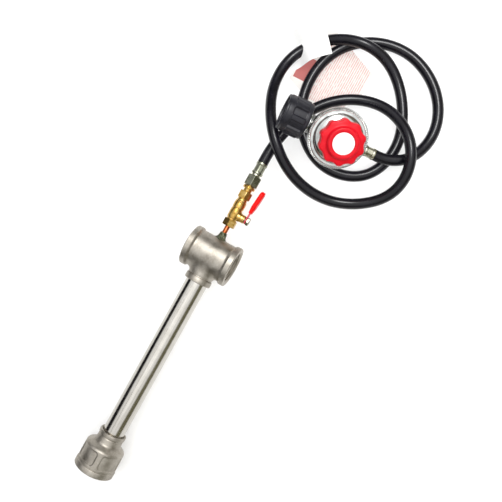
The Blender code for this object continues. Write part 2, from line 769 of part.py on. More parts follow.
def ferrule_profile(low, high):
    """A crimped sleeve, closed round the tail at its low end and open at the hose's."""
    way = 1 if high > low else -1
    length = abs(high - low)
    shape = [
        (3.6, 0.0), (FERRULE_R - 0.5, 0.0), (FERRULE_R, 0.5), (FERRULE_R, 2.4), (FERRULE_R - 0.7, 3.4),
        (FERRULE_R - 0.7, length - 3.4), (FERRULE_R, length - 2.4), (FERRULE_R, length - 0.4),
        (FERRULE_R - 0.3, length), (FERRULE_R - 1.3, length), (FERRULE_R - 1.3, 1.4), (3.6, 1.4),
    ]
    return [(r, low + way * z) for r, z in shape]


def regulator(reg, knob):
    """reg has Z along the gas path, out of the cylinder nut. knob has Z up the adjusting screw."""
    body = turned(
        "regulator_body",
        knob,
        [
            (0.0, -17.0), (13.5, -17.0), (14.5, -16.0), (15.5, -6.0), (18.5, 1.0), (27.0, 5.8), (31.0, 7.6),
            (31.0, RIM_LOW + 0.9), (FLANGE_R, RIM_LOW + 0.9), (FLANGE_R, 12.6), (0.0, 12.6),
        ],
        "die_cast",
        FINE,
    )
    inlet = turned(
        "inlet_boss",
        reg,
        [
            (0.0, -2.9), (INLET_R - 0.8, -2.9), (INLET_R, -3.7), (INLET_R, -12.0), (INLET_R + 1.2, -16.0),
            (INLET_R + 1.2, KNOB_AXIS - 3.0), (0.0, KNOB_AXIS - 3.0),
        ],
        None,
        MEDIUM,
    )
    outlet = turned(
        "outlet_boss",
        reg,
        [
            (0.0, KNOB_AXIS + 4.0), (OUTLET_R + 2.0, KNOB_AXIS + 4.0), (OUTLET_R + 2.0, OUTLET_END + 14),
            (OUTLET_R, OUTLET_END + 11),
            (OUTLET_R, OUTLET_END + 0.8), (OUTLET_R - 0.8, OUTLET_END), (0.0, OUTLET_END),
        ],
        None,
        MEDIUM,
    )
    join(body, inlet, outlet)
    chamber = turned(
        "chamber_cutter",
        knob,
        [(0.0, 8.0), (14.0, 8.0), (25.5, 10.2), (25.5, 16.0), (0.0, 16.0)],
        None,
        FINE,
    )
    centre_bore = turned(
        "centre_bore",
        knob,
        [
            (0.0, -20.0), (6.3, -20.0), (6.3, -1.0), (4.8, -0.2), (4.8, 5.6), (5.9, 5.6), (5.9, 10.0), (0.0, 10.0),
        ],
        None,
        MEDIUM,
    )
    inlet_bore = turned(
        "inlet_bore",
        reg,
        [
            (0.0, 0.0), (NIPPLE_R + GAP, 0.0), (NIPPLE_R + GAP, -18.0), (2.4, -20.0), (2.4, KNOB_AXIS + 0.7),
            (0.0, KNOB_AXIS + 0.7),
        ],
        None,
        MEDIUM,
    )
    outlet_bore = turned(
        "outlet_bore",
        reg,
        [(0.0, OUTLET_END - 3), (5.3, OUTLET_END - 3), (5.3, OUTLET_END + 14.0), (0.0, OUTLET_END + 16.0)],
        None,
        MEDIUM,
    )
    slant = Matrix.Translation(((0, 0, (OUTLET_END + 14.5) * MM))) @ Matrix.Rotation(math.radians(32), 4, "Y")
    outlet_way = turned(
        "outlet_way", reg, [(0.0, -1.5), (2.0, -1.5), (2.0, 17.5), (0.0, 17.5)], None, COARSE, slant
    )
    cut(body, chamber, centre_bore, inlet_bore, outlet_bore, outlet_way)

    turned(
        "orifice_seat",
        knob,
        [(1.3, 1.6), (4.5, 1.6), (4.5, 5.9), (5.6, 5.9), (5.6, 7.6), (2.4, 7.6), (1.3, 6.8)],
        "brass",
        COARSE,
    )
    turned(
        "poppet",
        knob,
        [
            (0.0, -3.2), (3.2, -3.2), (3.2, -0.4), (1.8, 0.9), (0.9, 1.1), (0.9, 12.4), (0.0, 12.4),
        ],
        "brass",
        COARSE,
    )
    turned(
        "bottom_plug",
        knob,
        [
            (0.0, -18.9), (9.4, -18.9), (10.0, -18.3), (10.0, -17.3), (6.0, -17.3), (6.0, -12.0), (0.0, -12.0),
        ],
        "brass",
        MEDIUM,
    )
    turned(
        "diaphragm",
        knob,
        [
            (0.0, 12.9), (20.0, 12.9), (22.5, 12.9), (FLANGE_R, 12.9), (FLANGE_R, 14.1), (26.0, 14.1),
            (24.0, 15.2), (20.5, 15.2), (18.5, 14.1), (0.0, 14.1),
        ],
        "black_rubber",
        FINE,
    )
    turned(
        "diaphragm_plate",
        knob,
        [
            (0.0, 14.4), (16.0, 14.4), (16.6, 15.6), (11.5, 15.6), (10.0, 15.9), (6.0, 15.9), (5.0, 18.0),
            (0.0, 18.0),
        ],
        "zinc_plate",
        MEDIUM,
    )
    turned(
        "regulator_cover",
        knob,
        [
            (31.4, RIM_LOW), (RIM_R - 0.5, RIM_LOW), (RIM_R, RIM_LOW + 0.5), (RIM_R, RIM_HIGH - 0.9),
            (RIM_R - 0.9, RIM_HIGH), (31.4, RIM_HIGH), (30.4, RIM_HIGH - 0.7), (27.8, RIM_HIGH - 0.7),
            (26.4, RIM_HIGH + 1.6), (20.0, RIM_HIGH + 4.2), (14.0, RIM_HIGH + 7.4), (BONNET_NECK_R, RIM_HIGH + 9.0),
            (BONNET_NECK_R, BONNET_TOP - 0.8), (BONNET_NECK_R - 0.8, BONNET_TOP), (SCREW_R + GAP, BONNET_TOP),
            (SCREW_R + GAP, BONNET_TOP - 3.4), (BONNET_NECK_R - 1.8, BONNET_TOP - 3.4),
            (BONNET_NECK_R - 1.8, RIM_HIGH + 7.6), (18.8, RIM_HIGH + 2.8), (25.4, RIM_HIGH + 0.2),
            (26.4, 14.4), (FLANGE_R + GAP, 14.4), (FLANGE_R + GAP, RIM_LOW + 0.6), (31.4, RIM_LOW + 0.6),
        ],
        "cover_plate",
        FINE,
    )


def adjuster(reg, screw):
    """The knob, its label and the screw turn together, and the spring button moves up and down with them."""
    lower = turned(
        "adjusting_knob",
        screw,
        [
            (0.0, KNOB_LOW), (KNOB_R, KNOB_LOW), (KNOB_R, KNOB_SHOULDER - 2.0), (KNOB_R - 2.5, KNOB_SHOULDER),
            (KNOB_RING_R + 1.5, KNOB_SHOULDER + 0.6), (KNOB_RING_R, KNOB_TOP - 1.0), (KNOB_RING_R - 1.2, KNOB_TOP),
            (LABEL_R + 1.0, KNOB_TOP), (LABEL_R + 0.4, KNOB_TOP - 1.4), (0.0, KNOB_TOP - 1.4),
        ],
        "knob_red",
        FINE,
    )
    spacing = math.tau / KNOB_LOBES
    for i in range(KNOB_LOBES):
        turn = Matrix.Rotation(spacing * (i + 0.5), 4, "Z")
        out = Matrix.Translation(((KNOB_R + KNOB_NOTCH_R - KNOB_NOTCH_DEPTH) * MM, 0, 0))
        notch = turned(
            f"knob_notch_{i}",
            screw,
            [
                (0.0, KNOB_LOW - 2), (KNOB_NOTCH_R, KNOB_LOW - 2), (KNOB_NOTCH_R, KNOB_SHOULDER + 0.2),
                (0.0, KNOB_SHOULDER + 0.2),
            ],
            None,
            MEDIUM,
            turn @ out,
        )
        cut(lower, notch)
    hollow_r = KNOB_R - KNOB_NOTCH_DEPTH - KNOB_WALL
    hollow = turned(
        "knob_hollow",
        screw,
        [
            (SCREW_R + GAP, KNOB_LOW + 6.4), (SCREW_R + GAP, KNOB_TOP - 5.0), (0.0, KNOB_TOP - 5.0),
            (0.0, KNOB_LOW - 2), (hollow_r, KNOB_LOW - 2), (hollow_r - 1.0, KNOB_SHOULDER - 3.0),
            (8.5, KNOB_SHOULDER - 3.0),
            (8.0, KNOB_LOW + 6.4),
        ],
        None,
        MEDIUM,
    )
    cut(lower, hollow)
    turned(
        "knob_label",
        screw,
        [
            (0.0, KNOB_TOP - 1.1), (LABEL_R, KNOB_TOP - 1.1), (LABEL_R, KNOB_TOP - 0.4),
            (LABEL_R - 0.3, KNOB_TOP - 0.1), (0.0, KNOB_TOP - 0.1),
        ],
        "label_white",
        MEDIUM,
    )
    turned(
        "adjusting_screw",
        screw,
        [
            (0.0, 30.6), (SCREW_R - 0.8, 30.6), (SCREW_R, 31.4), (SCREW_R, KNOB_TOP - 5.3),
            (0.0, KNOB_TOP - 5.3),
        ],
        "zinc_plate",
        COARSE,
    )
    turned(
        "spring_button",
        screw,
        [
            (0.0, 25.8), (4.6, 25.8), (5.2, 28.0), (8.4, 28.0), (8.4, 30.0), (0.0, 30.3),
        ],
        "zinc_plate",
        COARSE,
    )
    return lower


def cylinder_nut(reg):
    rib_low, rib_high = 4.2, 21.4
    body = turned(
        "cylinder_nut",
        reg,
        [
            (9.3, 0.0), (CYL_NUT_BODY_R - 1.6, 0.0), (CYL_NUT_BODY_R, 1.6), (CYL_NUT_BODY_R, rib_low),
            (CYL_NUT_R, rib_low + 0.8), (CYL_NUT_R, rib_high - 1.2), (CYL_NUT_BODY_R, rib_high),
            (CYL_NUT_BODY_R, CYL_NUT_LENGTH - 2.4), (CYL_NUT_R - 1.8, CYL_NUT_LENGTH - 0.8),
            (CYL_NUT_R - 1.8, CYL_NUT_LENGTH), (CYL_NUT_BORE_R + 0.7, CYL_NUT_LENGTH),
            (CYL_NUT_BORE_R, CYL_NUT_LENGTH - 1.4), (CYL_NUT_BORE_R, 5.6), (9.3, 5.6),
        ],
        "nut_black",
        FINE,
    )
    spacing = math.tau / CYL_NUT_RIBS
    for i in range(CYL_NUT_RIBS):
        groove = sector(
            f"nut_groove_{i}", reg, CYL_NUT_BODY_R - 0.3, CYL_NUT_R + 3, rib_low - 0.2, rib_high + 0.2,
            spacing * (i + 0.5), spacing - CYL_NUT_RIB / CYL_NUT_R, 3,
        )
        cut(body, groove)
    turned(
        "nut_bushing",
        reg,
        [(9.3, 5.9), (CYL_NUT_BORE_R - GAP, 5.9), (CYL_NUT_BORE_R - GAP, 8.2), (9.3, 8.2)],
        "bushing_black",
        MEDIUM,
    )
    turned(
        "inlet_nipple",
        reg,
        [
            (2.6, -17.0), (NIPPLE_R - 0.6, -17.0), (NIPPLE_R, -16.4), (NIPPLE_R, -0.6), (9.0, -0.6), (9.0, 8.5),
            (12.5, 8.5), (12.5, 10.4), (10.0, 11.4), (7.4, 11.4), (7.4, 15.0), (NIPPLE_R, 16.2), (NIPPLE_R, 19.0),
            (NOSE_R, 19.0), (NOSE_R, 26.2), (4.4, 27.0), (2.6, 27.0),
        ],
        "brass",
        MEDIUM,
    )
    turned(
        "inlet_washer",
        reg,
        [
            (NIPPLE_R + GAP, -2.6), (INLET_R + 0.4, -2.6), (INLET_R + 0.8, -2.2), (INLET_R + 0.8, -1.3),
            (INLET_R + 0.4, -0.9), (NIPPLE_R + GAP, -0.9),
        ],
        "zinc_plate",
        MEDIUM,
    )
    turned(
        "nose_seal",
        reg,
        [(NOSE_R + GAP, 19.3), (6.6, 19.3), (6.9, 20.4), (6.6, 22.4), (NOSE_R + GAP, 22.4)],
        "black_rubber",
        COARSE,
    )
    turned(
        "check_plunger",
        reg,
        [(0.0, 14.0), (2.0, 14.0), (2.3, 14.6), (2.3, 19.0), (1.5, 19.8), (1.5, 27.8), (0.0, 28.0)],
        "brass",
        COARSE,
    )


def springs(reg, knob_spring, check_spring):
    coil("adjusting_spring", knob_spring, 7.2, 1.0, 16.3, 27.7, 4.5, "spring_steel")
    coil("check_spring", check_spring, 1.7, 0.35, -2.0, 13.7, 5.5, "spring_steel", per_turn=8)


def poppet_spring(knob_spring):
    coil("poppet_spring", knob_spring, 2.4, 0.4, -11.7, -3.5, 4.0, "spring_steel", per_turn=8)


def regulator_hose_end(reg):
    tail_low = REG_FERRULE_FROM
    turned(
        "outlet_tail",
        reg,
        [
            (1.8, OUTLET_END + 12.0), (4.4, OUTLET_END + 12.0), (5.0, OUTLET_END + 11.0), (5.0, OUTLET_END - GAP),
            (6.6, OUTLET_END - GAP), (6.6, tail_low + GAP), (3.1, tail_low + GAP), (3.3, tail_low - 4),
            (2.9, tail_low - 4.2), (3.3, tail_low - 8), (2.9, tail_low - 8.2), (2.6, REG_FERRULE_TO),
            (1.8, REG_FERRULE_TO),
        ],
        "zinc_plate",
        COARSE,
    )
    turned("regulator_ferrule", reg, ferrule_profile(REG_FERRULE_FROM, REG_FERRULE_TO), "zinc_plate")


def from_coil(x, y, z=0.0):
    """A place in the coil, in the assembly's own millimetres."""
    return Vector((x - COIL_FROM, y, z))


def hose_line(count):
    """The hose's centre line, straight out of the burner's ferrule and straight into the regulator's."""
    start = Vector((-FERRULE_TO - GAP, 0.0, REST_R))
    frame = regulator_matrix()
    end, near_end, before_end = (
        frame @ Vector((0, 0, (REG_FERRULE_TO - GAP - back) * MM)) / MM
        for back in (0, HOSE_STRAIGHT / 2, HOSE_STRAIGHT)
    )
    near_start, after_start = (start + Vector((-out, 0, 0)) for out in (HOSE_STRAIGHT, 2 * HOSE_STRAIGHT))
    coiled = (tuple(from_coil(*point)) for point in ROUTE)
    route = [tuple(start), tuple(after_start), *coiled, tuple(before_end), tuple(end)]
    line = [tuple(point) for point in smooth_curve(route, count - 2)]
    return [line[0], tuple(near_start), *line[1:-1], tuple(near_end), line[-1]]


def regulator_matrix():
    out = Vector(
        (
            math.cos(REG_HEADING) * math.cos(REG_PITCH),
            math.sin(REG_HEADING) * math.cos(REG_PITCH),
            math.sin(REG_PITCH),
        )
    )
    upright = (Vector((0, 0, 1)) - out * out.z).normalized()
    up = (Matrix.Rotation(REG_ROLL, 3, out) @ upright).normalized()
    side = out.cross(up)
    turn = Matrix((up, side, out)).transposed().to_4x4()
    return Matrix.Translation(from_coil(*REG_AT) * MM) @ turn


def papers(frame, hose_points):
    corners = [(-213, -26), (-127, -28), (-100, 37), (-171, 72)]
    outline = bpy.data.curves.new("leaflet", "CURVE")
    outline.dimensions = "2D"
    outline.fill_mode = "BOTH"
    outline.extrude = PAPER / 2 * MM
    spline = outline.splines.new("POLY")
    spline.points.add(len(corners) - 1)
    for point, (x, y) in zip(spline.points, corners):
        point.co = (x * MM, y * MM, 0, 1)
    spline.use_cyclic_u = True
    leaflet = place(bpy.data.objects.new("leaflet", outline), frame, "paper")
    leaflet.location = from_coil(0, 0, PAPER / 2) * MM

    profile = [
        (-42, 1.0), (-22, 1.2), (-14, 2.2), (-8, 5.5), (-3, 11.0), (2, 17.0), (7, 21.8), (12, CARD_HIGH),
        (19, CARD_HIGH + 0.6), (33, CARD_HIGH),
    ]
    shape = bmesh.new()
    rows = [
        [shape.verts.new((x * MM, y * MM, z * MM)) for x, z in profile] for y in (-CARD_WIDE / 2, CARD_WIDE / 2)
    ]
    for i in range(len(profile) - 1):
        shape.faces.new((rows[0][i], rows[0][i + 1], rows[1][i + 1], rows[1][i]))
    card = from_bmesh("hose_card", shape, frame, "paper")
    card.location = from_coil(-164, -31) * MM
    card.rotation_euler.z = math.radians(132)
    skin = card.modifiers.new("Sheet", "SOLIDIFY")
    skin.thickness = PAPER * MM
    skin.offset = 0.0
    fat = as_mesh(tube_along("card_hole", frame, hose_points, HOSE_R + 1.4))
    cut(card, fat)
    return card


def stand_on_origin(frame, left_out):
    """Moves the whole assembly so that its box, without the cord's pieces, stands centred on the origin."""
    bpy.context.view_layer.update()
    graph = bpy.context.evaluated_depsgraph_get()
    lows, highs = [], []
    for made in parts.objects:
        if made.type == "EMPTY" or made.name in left_out:
            continue
        evaluated = made.evaluated_get(graph)
        mesh = evaluated.to_mesh()
        points = np.empty(len(mesh.vertices) * 3)
        mesh.vertices.foreach_get("co", points)
        evaluated.to_mesh_clear()
        world = np.array(made.matrix_world)
        points = points.reshape(-1, 3) @ world[:3, :3].T + world[:3, 3]
        lows.append(points.min(axis=0))
        highs.append(points.max(axis=0))
    low = np.min(lows, axis=0)
    high = np.max(highs, axis=0)
    frame.location = (-(low[0] + high[0]) / 2, -(low[1] + high[1]) / 2, -low[2])
    bpy.context.view_layer.update()


def main():
    frame = empty("torch_frame")
    lie = Matrix(((0, 0, -1, 0), (0, 1, 0, 0), (1, 0, 0, 0), (0, 0, 0, 1)))
    axis = empty("burner_axis", frame, Matrix.Translation((0, 0, REST_R * MM)) @ lie)
    across = Matrix(((1, 0, 0, 0), (0, 0, 1, 0), (0, -1, 0, 0), (0, 0, 0, 1)))
    run = empty("run_axis", axis, shift(TEE_STATION) @ across)
    stem = empty("stem_axis", axis, shift(STEM_AT) @ across)

    flame_bell(axis)
    burner_tube(axis)
    intake_tee(axis, run)
    gas_jet(axis, run)
    ball_valve(axis, stem)
    valve_handle(stem)
    hose_coupling(axis)

    reg = empty("regulator_axis", frame, regulator_matrix())
    up_knob = Matrix(((0, 0, 1, 0), (0, 1, 0, 0), (-1, 0, 0, 0), (0, 0, 0, 1)))
    lift = Matrix.Translation((KNOB_LIFT * MM, 0, 0))
    knob = empty("knob_axis", reg, lift @ shift(KNOB_AXIS) @ up_knob)
    along = Matrix(((0, 1, 0, 0), (0, 0, 1, 0), (1, 0, 0, 0), (0, 0, 0, 1)))
    knob_spring = empty("knob_spring_axis", knob, along)
    check_spring = empty("check_spring_axis", reg, along)
    regulator(reg, knob)
    adjuster(reg, knob)
    cylinder_nut(reg)
    springs(reg, knob_spring, check_spring)
    poppet_spring(knob_spring)
    regulator_hose_end(reg)

    hose_points = hose_line(HOSE_POINTS)
    tube_along("hose", frame, hose_points, HOSE_R, "hose_rubber")
    papers(frame, hose_points)
    stand_on_origin(frame, {"hose", "hose_card", "burner_ferrule", "regulator_ferrule"})


clear_scene()
parts = bpy.data.collections.new("propane_torch")
cutters = bpy.data.collections.new("cutters")
bpy.context.scene.collection.children.link(parts)
bpy.context.scene.collection.children.link(cutters)
main()
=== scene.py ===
"""The looks of a propane torch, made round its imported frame.

The torch lies on a white table. A flame bell, a burner tube and an air-intake tee lie in one line. Then come
a copper jet pipe, a brass ball valve with a red lever, and a black hose in loose loops. It ends at a
regulator with a red knob and a black cylinder nut. Lengths in the pieces are in millimetres. A "station" is a
distance along the burner's axis from the mouth of the flame bell.
"""

import json
import math

import bmesh
import bpy
import numpy as np
from mathutils import Matrix, Vector


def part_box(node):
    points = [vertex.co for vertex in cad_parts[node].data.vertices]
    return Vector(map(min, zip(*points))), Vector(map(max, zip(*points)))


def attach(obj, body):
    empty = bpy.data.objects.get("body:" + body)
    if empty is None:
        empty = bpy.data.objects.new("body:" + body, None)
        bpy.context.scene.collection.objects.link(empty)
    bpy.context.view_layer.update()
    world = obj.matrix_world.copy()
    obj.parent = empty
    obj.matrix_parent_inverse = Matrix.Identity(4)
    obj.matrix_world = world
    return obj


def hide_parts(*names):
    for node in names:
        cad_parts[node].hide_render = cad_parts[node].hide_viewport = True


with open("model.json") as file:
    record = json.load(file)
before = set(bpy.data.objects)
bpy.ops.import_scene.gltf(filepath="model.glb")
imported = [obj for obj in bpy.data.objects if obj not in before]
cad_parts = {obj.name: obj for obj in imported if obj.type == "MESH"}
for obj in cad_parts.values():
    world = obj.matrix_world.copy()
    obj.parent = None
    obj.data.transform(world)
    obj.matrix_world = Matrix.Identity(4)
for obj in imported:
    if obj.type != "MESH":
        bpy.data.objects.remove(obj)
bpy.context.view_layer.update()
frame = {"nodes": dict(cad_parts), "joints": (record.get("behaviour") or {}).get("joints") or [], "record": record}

MM = 0.001
X, Y, Z = Vector((1, 0, 0)), Vector((0, 1, 0)), Vector((0, 0, 1))
SMOOTH = 96  # steps round a large turned piece
SMALL = 64  # steps round a small one
FINE = 160  # steps round the pipe and the tee
FERRULE_STEPS = 128


# ---------------------------------------- places
def axes_at(origin, along, upright):
    """A frame with Z along one direction and X as near as it can be to another."""
    z = Vector(along).normalized()
    x = (Vector(upright) - z * z.dot(upright)).normalized()
    return Matrix.Translation(origin) @ Matrix((x, z.cross(x), z)).transposed().to_4x4()


joints = {joint["name"]: joint for joint in frame["joints"]}
bell_low, bell_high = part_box("flame_bell")
MOUTH = Vector((bell_high.x, (bell_low.y + bell_high.y) / 2, (bell_low.z + bell_high.z) / 2))
REST_R = (bell_high.z - bell_low.z) / 2 / MM
BURNER = axes_at(MOUTH, -X, Z)


def station(x):
    return (MOUTH.x - x) / MM


def span(node, place):
    """A node's lowest and highest point along a frame's Z, and its furthest from that axis, in mm."""
    back = place.inverted()
    points = [(back @ vert.co) / MM for vert in frame["nodes"][node].data.vertices]
    return min(p.z for p in points), max(p.z for p in points), max(math.hypot(p.x, p.y) for p in points)


def stations(node):
    """Where a node on the burner's axis starts and ends."""
    low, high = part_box(node)
    return station(high.x), station(low.x)


def on_burner(at, along=-X, upright=Z):
    return axes_at(MOUTH - X * at * MM, along, upright)


TUBE_FROM, TUBE_TO = stations("burner_tube")
BRANCH_FACE, TEE_LOW = stations("intake_tee")
TEE_AT = TEE_LOW - REST_R
JET_FROM, JET_TO = stations("jet_pipe")
VALVE_FROM, VALVE_TO = stations("valve_body")
STEM_AT = station(joints["valve_lever_turn"]["pos_m"][0])
NUT_FROM, NUT_TO = stations("swivel_nut")
FERRULE_FROM, FERRULE_TO = stations("burner_ferrule")
RUN = on_burner(TEE_AT, Y)
STEM = on_burner(STEM_AT, Y)

NUT_AXIS = Vector(joints["cylinder_nut_turn"]["axis"])
KNOB_AXIS = Vector(joints["knob_turn"]["axis"])
NUT_PIVOT, KNOB_PIVOT = 15.0, 40.0  # how far each joint's point is from its frame's origin
REG = axes_at(Vector(joints["cylinder_nut_turn"]["pos_m"]) - NUT_AXIS * NUT_PIVOT * MM, NUT_AXIS, KNOB_AXIS)
KNOB = axes_at(Vector(joints["knob_turn"]["pos_m"]) - KNOB_AXIS * KNOB_PIVOT * MM, KNOB_AXIS, -NUT_AXIS)


# ---------------------------------------- camera
def look(position, right, up, lens):
    camera = bpy.data.objects.new("camera", bpy.data.cameras.new("camera"))
    right, up = Vector(right).normalized(), Vector(up)
    up = (up - right * up.dot(right)).normalized()
    turn = Matrix((right, up, right.cross(up))).transposed().to_4x4()
    camera.matrix_world = Matrix.Translation(position) @ turn
    camera.data.lens = lens
    camera.data.sensor_width = 36
    bpy.context.scene.collection.objects.link(camera)
    bpy.context.scene.camera = camera


EYE = Vector((MOUTH.x - 0.3244, MOUTH.y + 0.1393, 0.7325))
look(EYE, right=(-0.4853, 0.8650, -0.1274), up=(-0.8743, -0.4816, 0.0604), lens=43.46)


# ---------------------------------------- materials
def linear(colour):
    """An sRGB hex colour as linear RGBA."""
    parts = [int(colour[i : i + 2], 16) / 255 for i in (1, 3, 5)]
    return (*(c / 12.92 if c <= 0.04045 else ((c + 0.055) / 1.055) ** 2.4 for c in parts), 1.0)


def add(tree, kind, values=(), links=(), **settings):
    """Adds one node, with its properties, its sockets' values and what its sockets are linked from."""
    node = tree.nodes.new("ShaderNode" + kind)
    for name, value in settings.items():
        setattr(node, name, value)
    for socket, value in dict(values).items():
        node.inputs[socket].default_value = value
    for socket, source in dict(links).items():
        tree.links.new(source, node.inputs[socket])
    return node


def surface(name, colours, roughness, layers, metallic=0.0, place=None, **sockets):
    """A finish of two or more colours that noise mixes, with roughness and relief from the same layers.

    colours are hex, from the least of the pattern to the most. roughness is its least and most. Each layer is
    (size in mm, stretch along local X, Y, Z, share in colour and roughness, relief in mm). place is the frame
    that the pattern is drawn in.
    """
    made = bpy.data.materials.new(name)
    made.use_nodes = True
    tree = made.node_tree
    shader = tree.nodes["Principled BSDF"]
    shader.inputs["Metallic"].default_value = metallic
    for socket, value in sockets.items():
        shader.inputs[socket.replace("_", " ")].default_value = value
    at = add(tree, "TexCoord").outputs["Object"]
    if place is not None:
        turn = place.to_euler()
        at = add(
            tree, "Mapping", {"Location": place.translation, "Rotation": turn}, {"Vector": at},
            vector_type="TEXTURE",
        ).outputs[0]
    total, normal = None, None
    for size, stretch, share, relief in layers:
        spread = [1 / (size * MM * s) for s in stretch]
        scaled = add(tree, "Mapping", {"Scale": spread}, {"Vector": at}).outputs[0]
        noise = add(
            tree, "TexNoise", {"Scale": 1.0, "Detail": 3.0, "Roughness": 0.6}, {"Vector": scaled}
        ).outputs["Fac"]
        if relief:
            bump = add(tree, "Bump", {"Strength": 1.0, "Distance": relief * MM}, {"Height": noise})
            if normal:
                tree.links.new(normal, bump.inputs["Normal"])
            normal = bump.outputs[0]
        if share:
            part = add(tree, "Math", {1: share}, {0: noise}, operation="MULTIPLY").outputs[0]
            if total:
                part = add(tree, "Math", links={0: total, 1: part}, operation="ADD").outputs[0]
            total = part
    if normal:
        tree.links.new(normal, shader.inputs["Normal"])
    ramp = add(tree, "ValToRGB", links={"Fac": total})
    stops = ramp.color_ramp.elements
    places = [0.32 + 0.36 * i / (len(colours) - 1) for i in range(len(colours))]
    while len(stops) < len(colours):
        stops.new(0.5)
    for stop, where, colour in zip(stops, places, colours):
        stop.position = where
        stop.color = linear(colour)
    tree.links.new(ramp.outputs["Color"], shader.inputs["Base Color"])
    rough = add(
        tree, "MapRange",
        {"From Min": 0.3, "From Max": 0.7, "To Min": roughness[0], "To Max": roughness[1]},
        {"Value": total},
    )
    tree.links.new(rough.outputs[0], shader.inputs["Roughness"])
    return made


EVEN = (1, 1, 1)
# Shell-cast stainless steel, bead blasted: a warm satin grey with a fine sandy grain
cast_steel = surface(
    "cast_stainless_blasted", ("#857f75", "#a8a298", "#c0bbb2"), (0.4, 0.56),
    [(0.9, EVEN, 0.4, 0.06), (11.0, EVEN, 0.6, 0.25)], 1.0,
)
# Drawn stainless pipe, polished: a near mirror with fine lines along it
pipe_steel = surface(
    "stainless_pipe_polished", ("#b5b1a9", "#d0cdc7"), (0.12, 0.22),
    [(0.5, (90, 1, 1), 0.6, 0.0015), (14.0, EVEN, 0.4, 0.03)], 1.0,
)
# Turned brass: warm yellow with fine tool rings and a few dull patches
brass = surface(
    "brass_turned", ("#94712f", "#c6a055", "#e0c585"), (0.24, 0.4),
    [(0.35, (40, 40, 1), 0.35, 0.006), (5.0, EVEN, 0.65, 0.05)], 1.0, BURNER,
)
brass_fitting = surface(
    "brass_fitting_turned", ("#8a6a26", "#c39a41", "#dcb860"), (0.18, 0.34),
    [(0.35, (40, 40, 1), 0.4, 0.006), (5.0, EVEN, 0.6, 0.04)], 1.0, REG,
)
# Drawn copper pipe, heated when it was brazed: orange brown with dark scale
copper = surface(
    "copper_pipe_heated", ("#5d2a1a", "#a9572f", "#c97c55"), (0.22, 0.45),
    [(0.6, (12, 1, 1), 0.4, 0.01), (3.5, EVEN, 0.6, 0.03)], 1.0,
)
# Silver braze with its burnt flux: near black, with green and pale glassy spots
braze = surface(
    "silver_braze_fluxed", ("#1a1c11", "#3a3d28", "#585c43", "#b9b6a0"), (0.22, 0.6),
    [(1.1, EVEN, 0.5, 0.12), (2.6, EVEN, 0.5, 0.5)], 0.55,
)
# Zinc-plated steel, olive passivated: a soft grey green sheen
olive_zinc = surface(
    "zinc_plate_olive", ("#73766a", "#8f917f", "#aaab9b"), (0.22, 0.34),
    [(0.4, (1, 30, 30), 0.35, 0.006), (7.0, EVEN, 0.65, 0.04)], 1.0,
)
# Zinc-plated steel, clear passivated: bright, faintly yellow
clear_zinc = surface(
    "zinc_plate_clear", ("#9d9c86", "#c4c2ae", "#dcdacb"), (0.18, 0.32),
    [(0.4, EVEN, 0.4, 0.006), (6.0, EVEN, 0.6, 0.03)], 1.0,
)
# Nickel-plated steel, pressed: bright with a slight ripple
bright_plate = surface(
    "nickel_plate_pressed", ("#b3b5b4", "#cbcdcb", "#dfe0df"), (0.12, 0.24),
    [(0.8, EVEN, 0.3, 0.004), (9.0, EVEN, 0.7, 0.08)], 1.0, KNOB,
)
# Die-cast zinc, tumbled: a dull grey with a slight grain
die_cast = surface(
    "zinc_die_cast", ("#7f8180", "#9b9d9b", "#b1b3b1"), (0.34, 0.5),
    [(0.7, EVEN, 0.45, 0.02), (8.0, EVEN, 0.55, 0.1)], 1.0,
)
# Black nitrile hose cover, extruded: glossy, with faint marks along it
hose_rubber = surface(
    "nitrile_hose_glossy", ("#09080c", "#100f15", "#18161f"), (0.2, 0.3),
    [(0.9, EVEN, 0.5, 0.008), (12.0, EVEN, 0.5, 0.05)], Specular_IOR_Level=0.3,
)
# Black seals, moulded rubber: matt
seal_rubber = surface(
    "nitrile_seal_moulded", ("#121214", "#1e1e20"), (0.5, 0.65),
    [(0.5, EVEN, 0.6, 0.01), (4.0, EVEN, 0.4, 0.03)],
)
# Dipped vinyl on the lever: thick, bright and glossy, with a faint orange peel
dipped_vinyl = surface(
    "vinyl_dipped_red", ("#cf0400", "#e20300", "#ee0802"), (0.22, 0.34),
    [(0.8, EVEN, 0.5, 0.01), (6.0, EVEN, 0.5, 0.06)], Specular_IOR_Level=0.2,
)
# Thin vinyl overspray on the lever's root: paler and duller
thin_vinyl = surface(
    "vinyl_overspray_red", ("#c2283a", "#d53a49", "#e05a64"), (0.36, 0.5),
    [(0.5, EVEN, 0.5, 0.01), (3.0, EVEN, 0.5, 0.03)],
)
# Moulded ABS knob: saturated red with a soft spark-eroded texture
knob_abs = surface(
    "abs_moulded_red", ("#c40518", "#d1081d", "#db1027"), (0.34, 0.48),
    [(0.45, EVEN, 0.5, 0.02), (9.0, EVEN, 0.5, 0.05)], Specular_IOR_Level=0.25,
)
# Moulded nylon nut: charcoal with a fine texture and lighter rubbed edges
nut_nylon = surface(
    "nylon_moulded_charcoal", ("#131318", "#1d1d24", "#292930"), (0.3, 0.46),
    [(0.5, EVEN, 0.5, 0.03), (6.0, EVEN, 0.5, 0.06)], Specular_IOR_Level=0.35,
)
# Coated card in the knob: plain white with a slight tooth
label_card = surface(
    "coated_card_white", ("#f3f3f3", "#fbfbfb"), (0.45, 0.6),
    [(0.3, EVEN, 0.5, 0.004), (6.0, EVEN, 0.5, 0.01)],
)
# PTFE, skived: milky white and waxy
ptfe = surface(
    "ptfe_white", ("#e2e2dd", "#efefeb"), (0.4, 0.5), [(0.6, EVEN, 0.5, 0.006), (3.0, EVEN, 0.5, 0.01)],
)
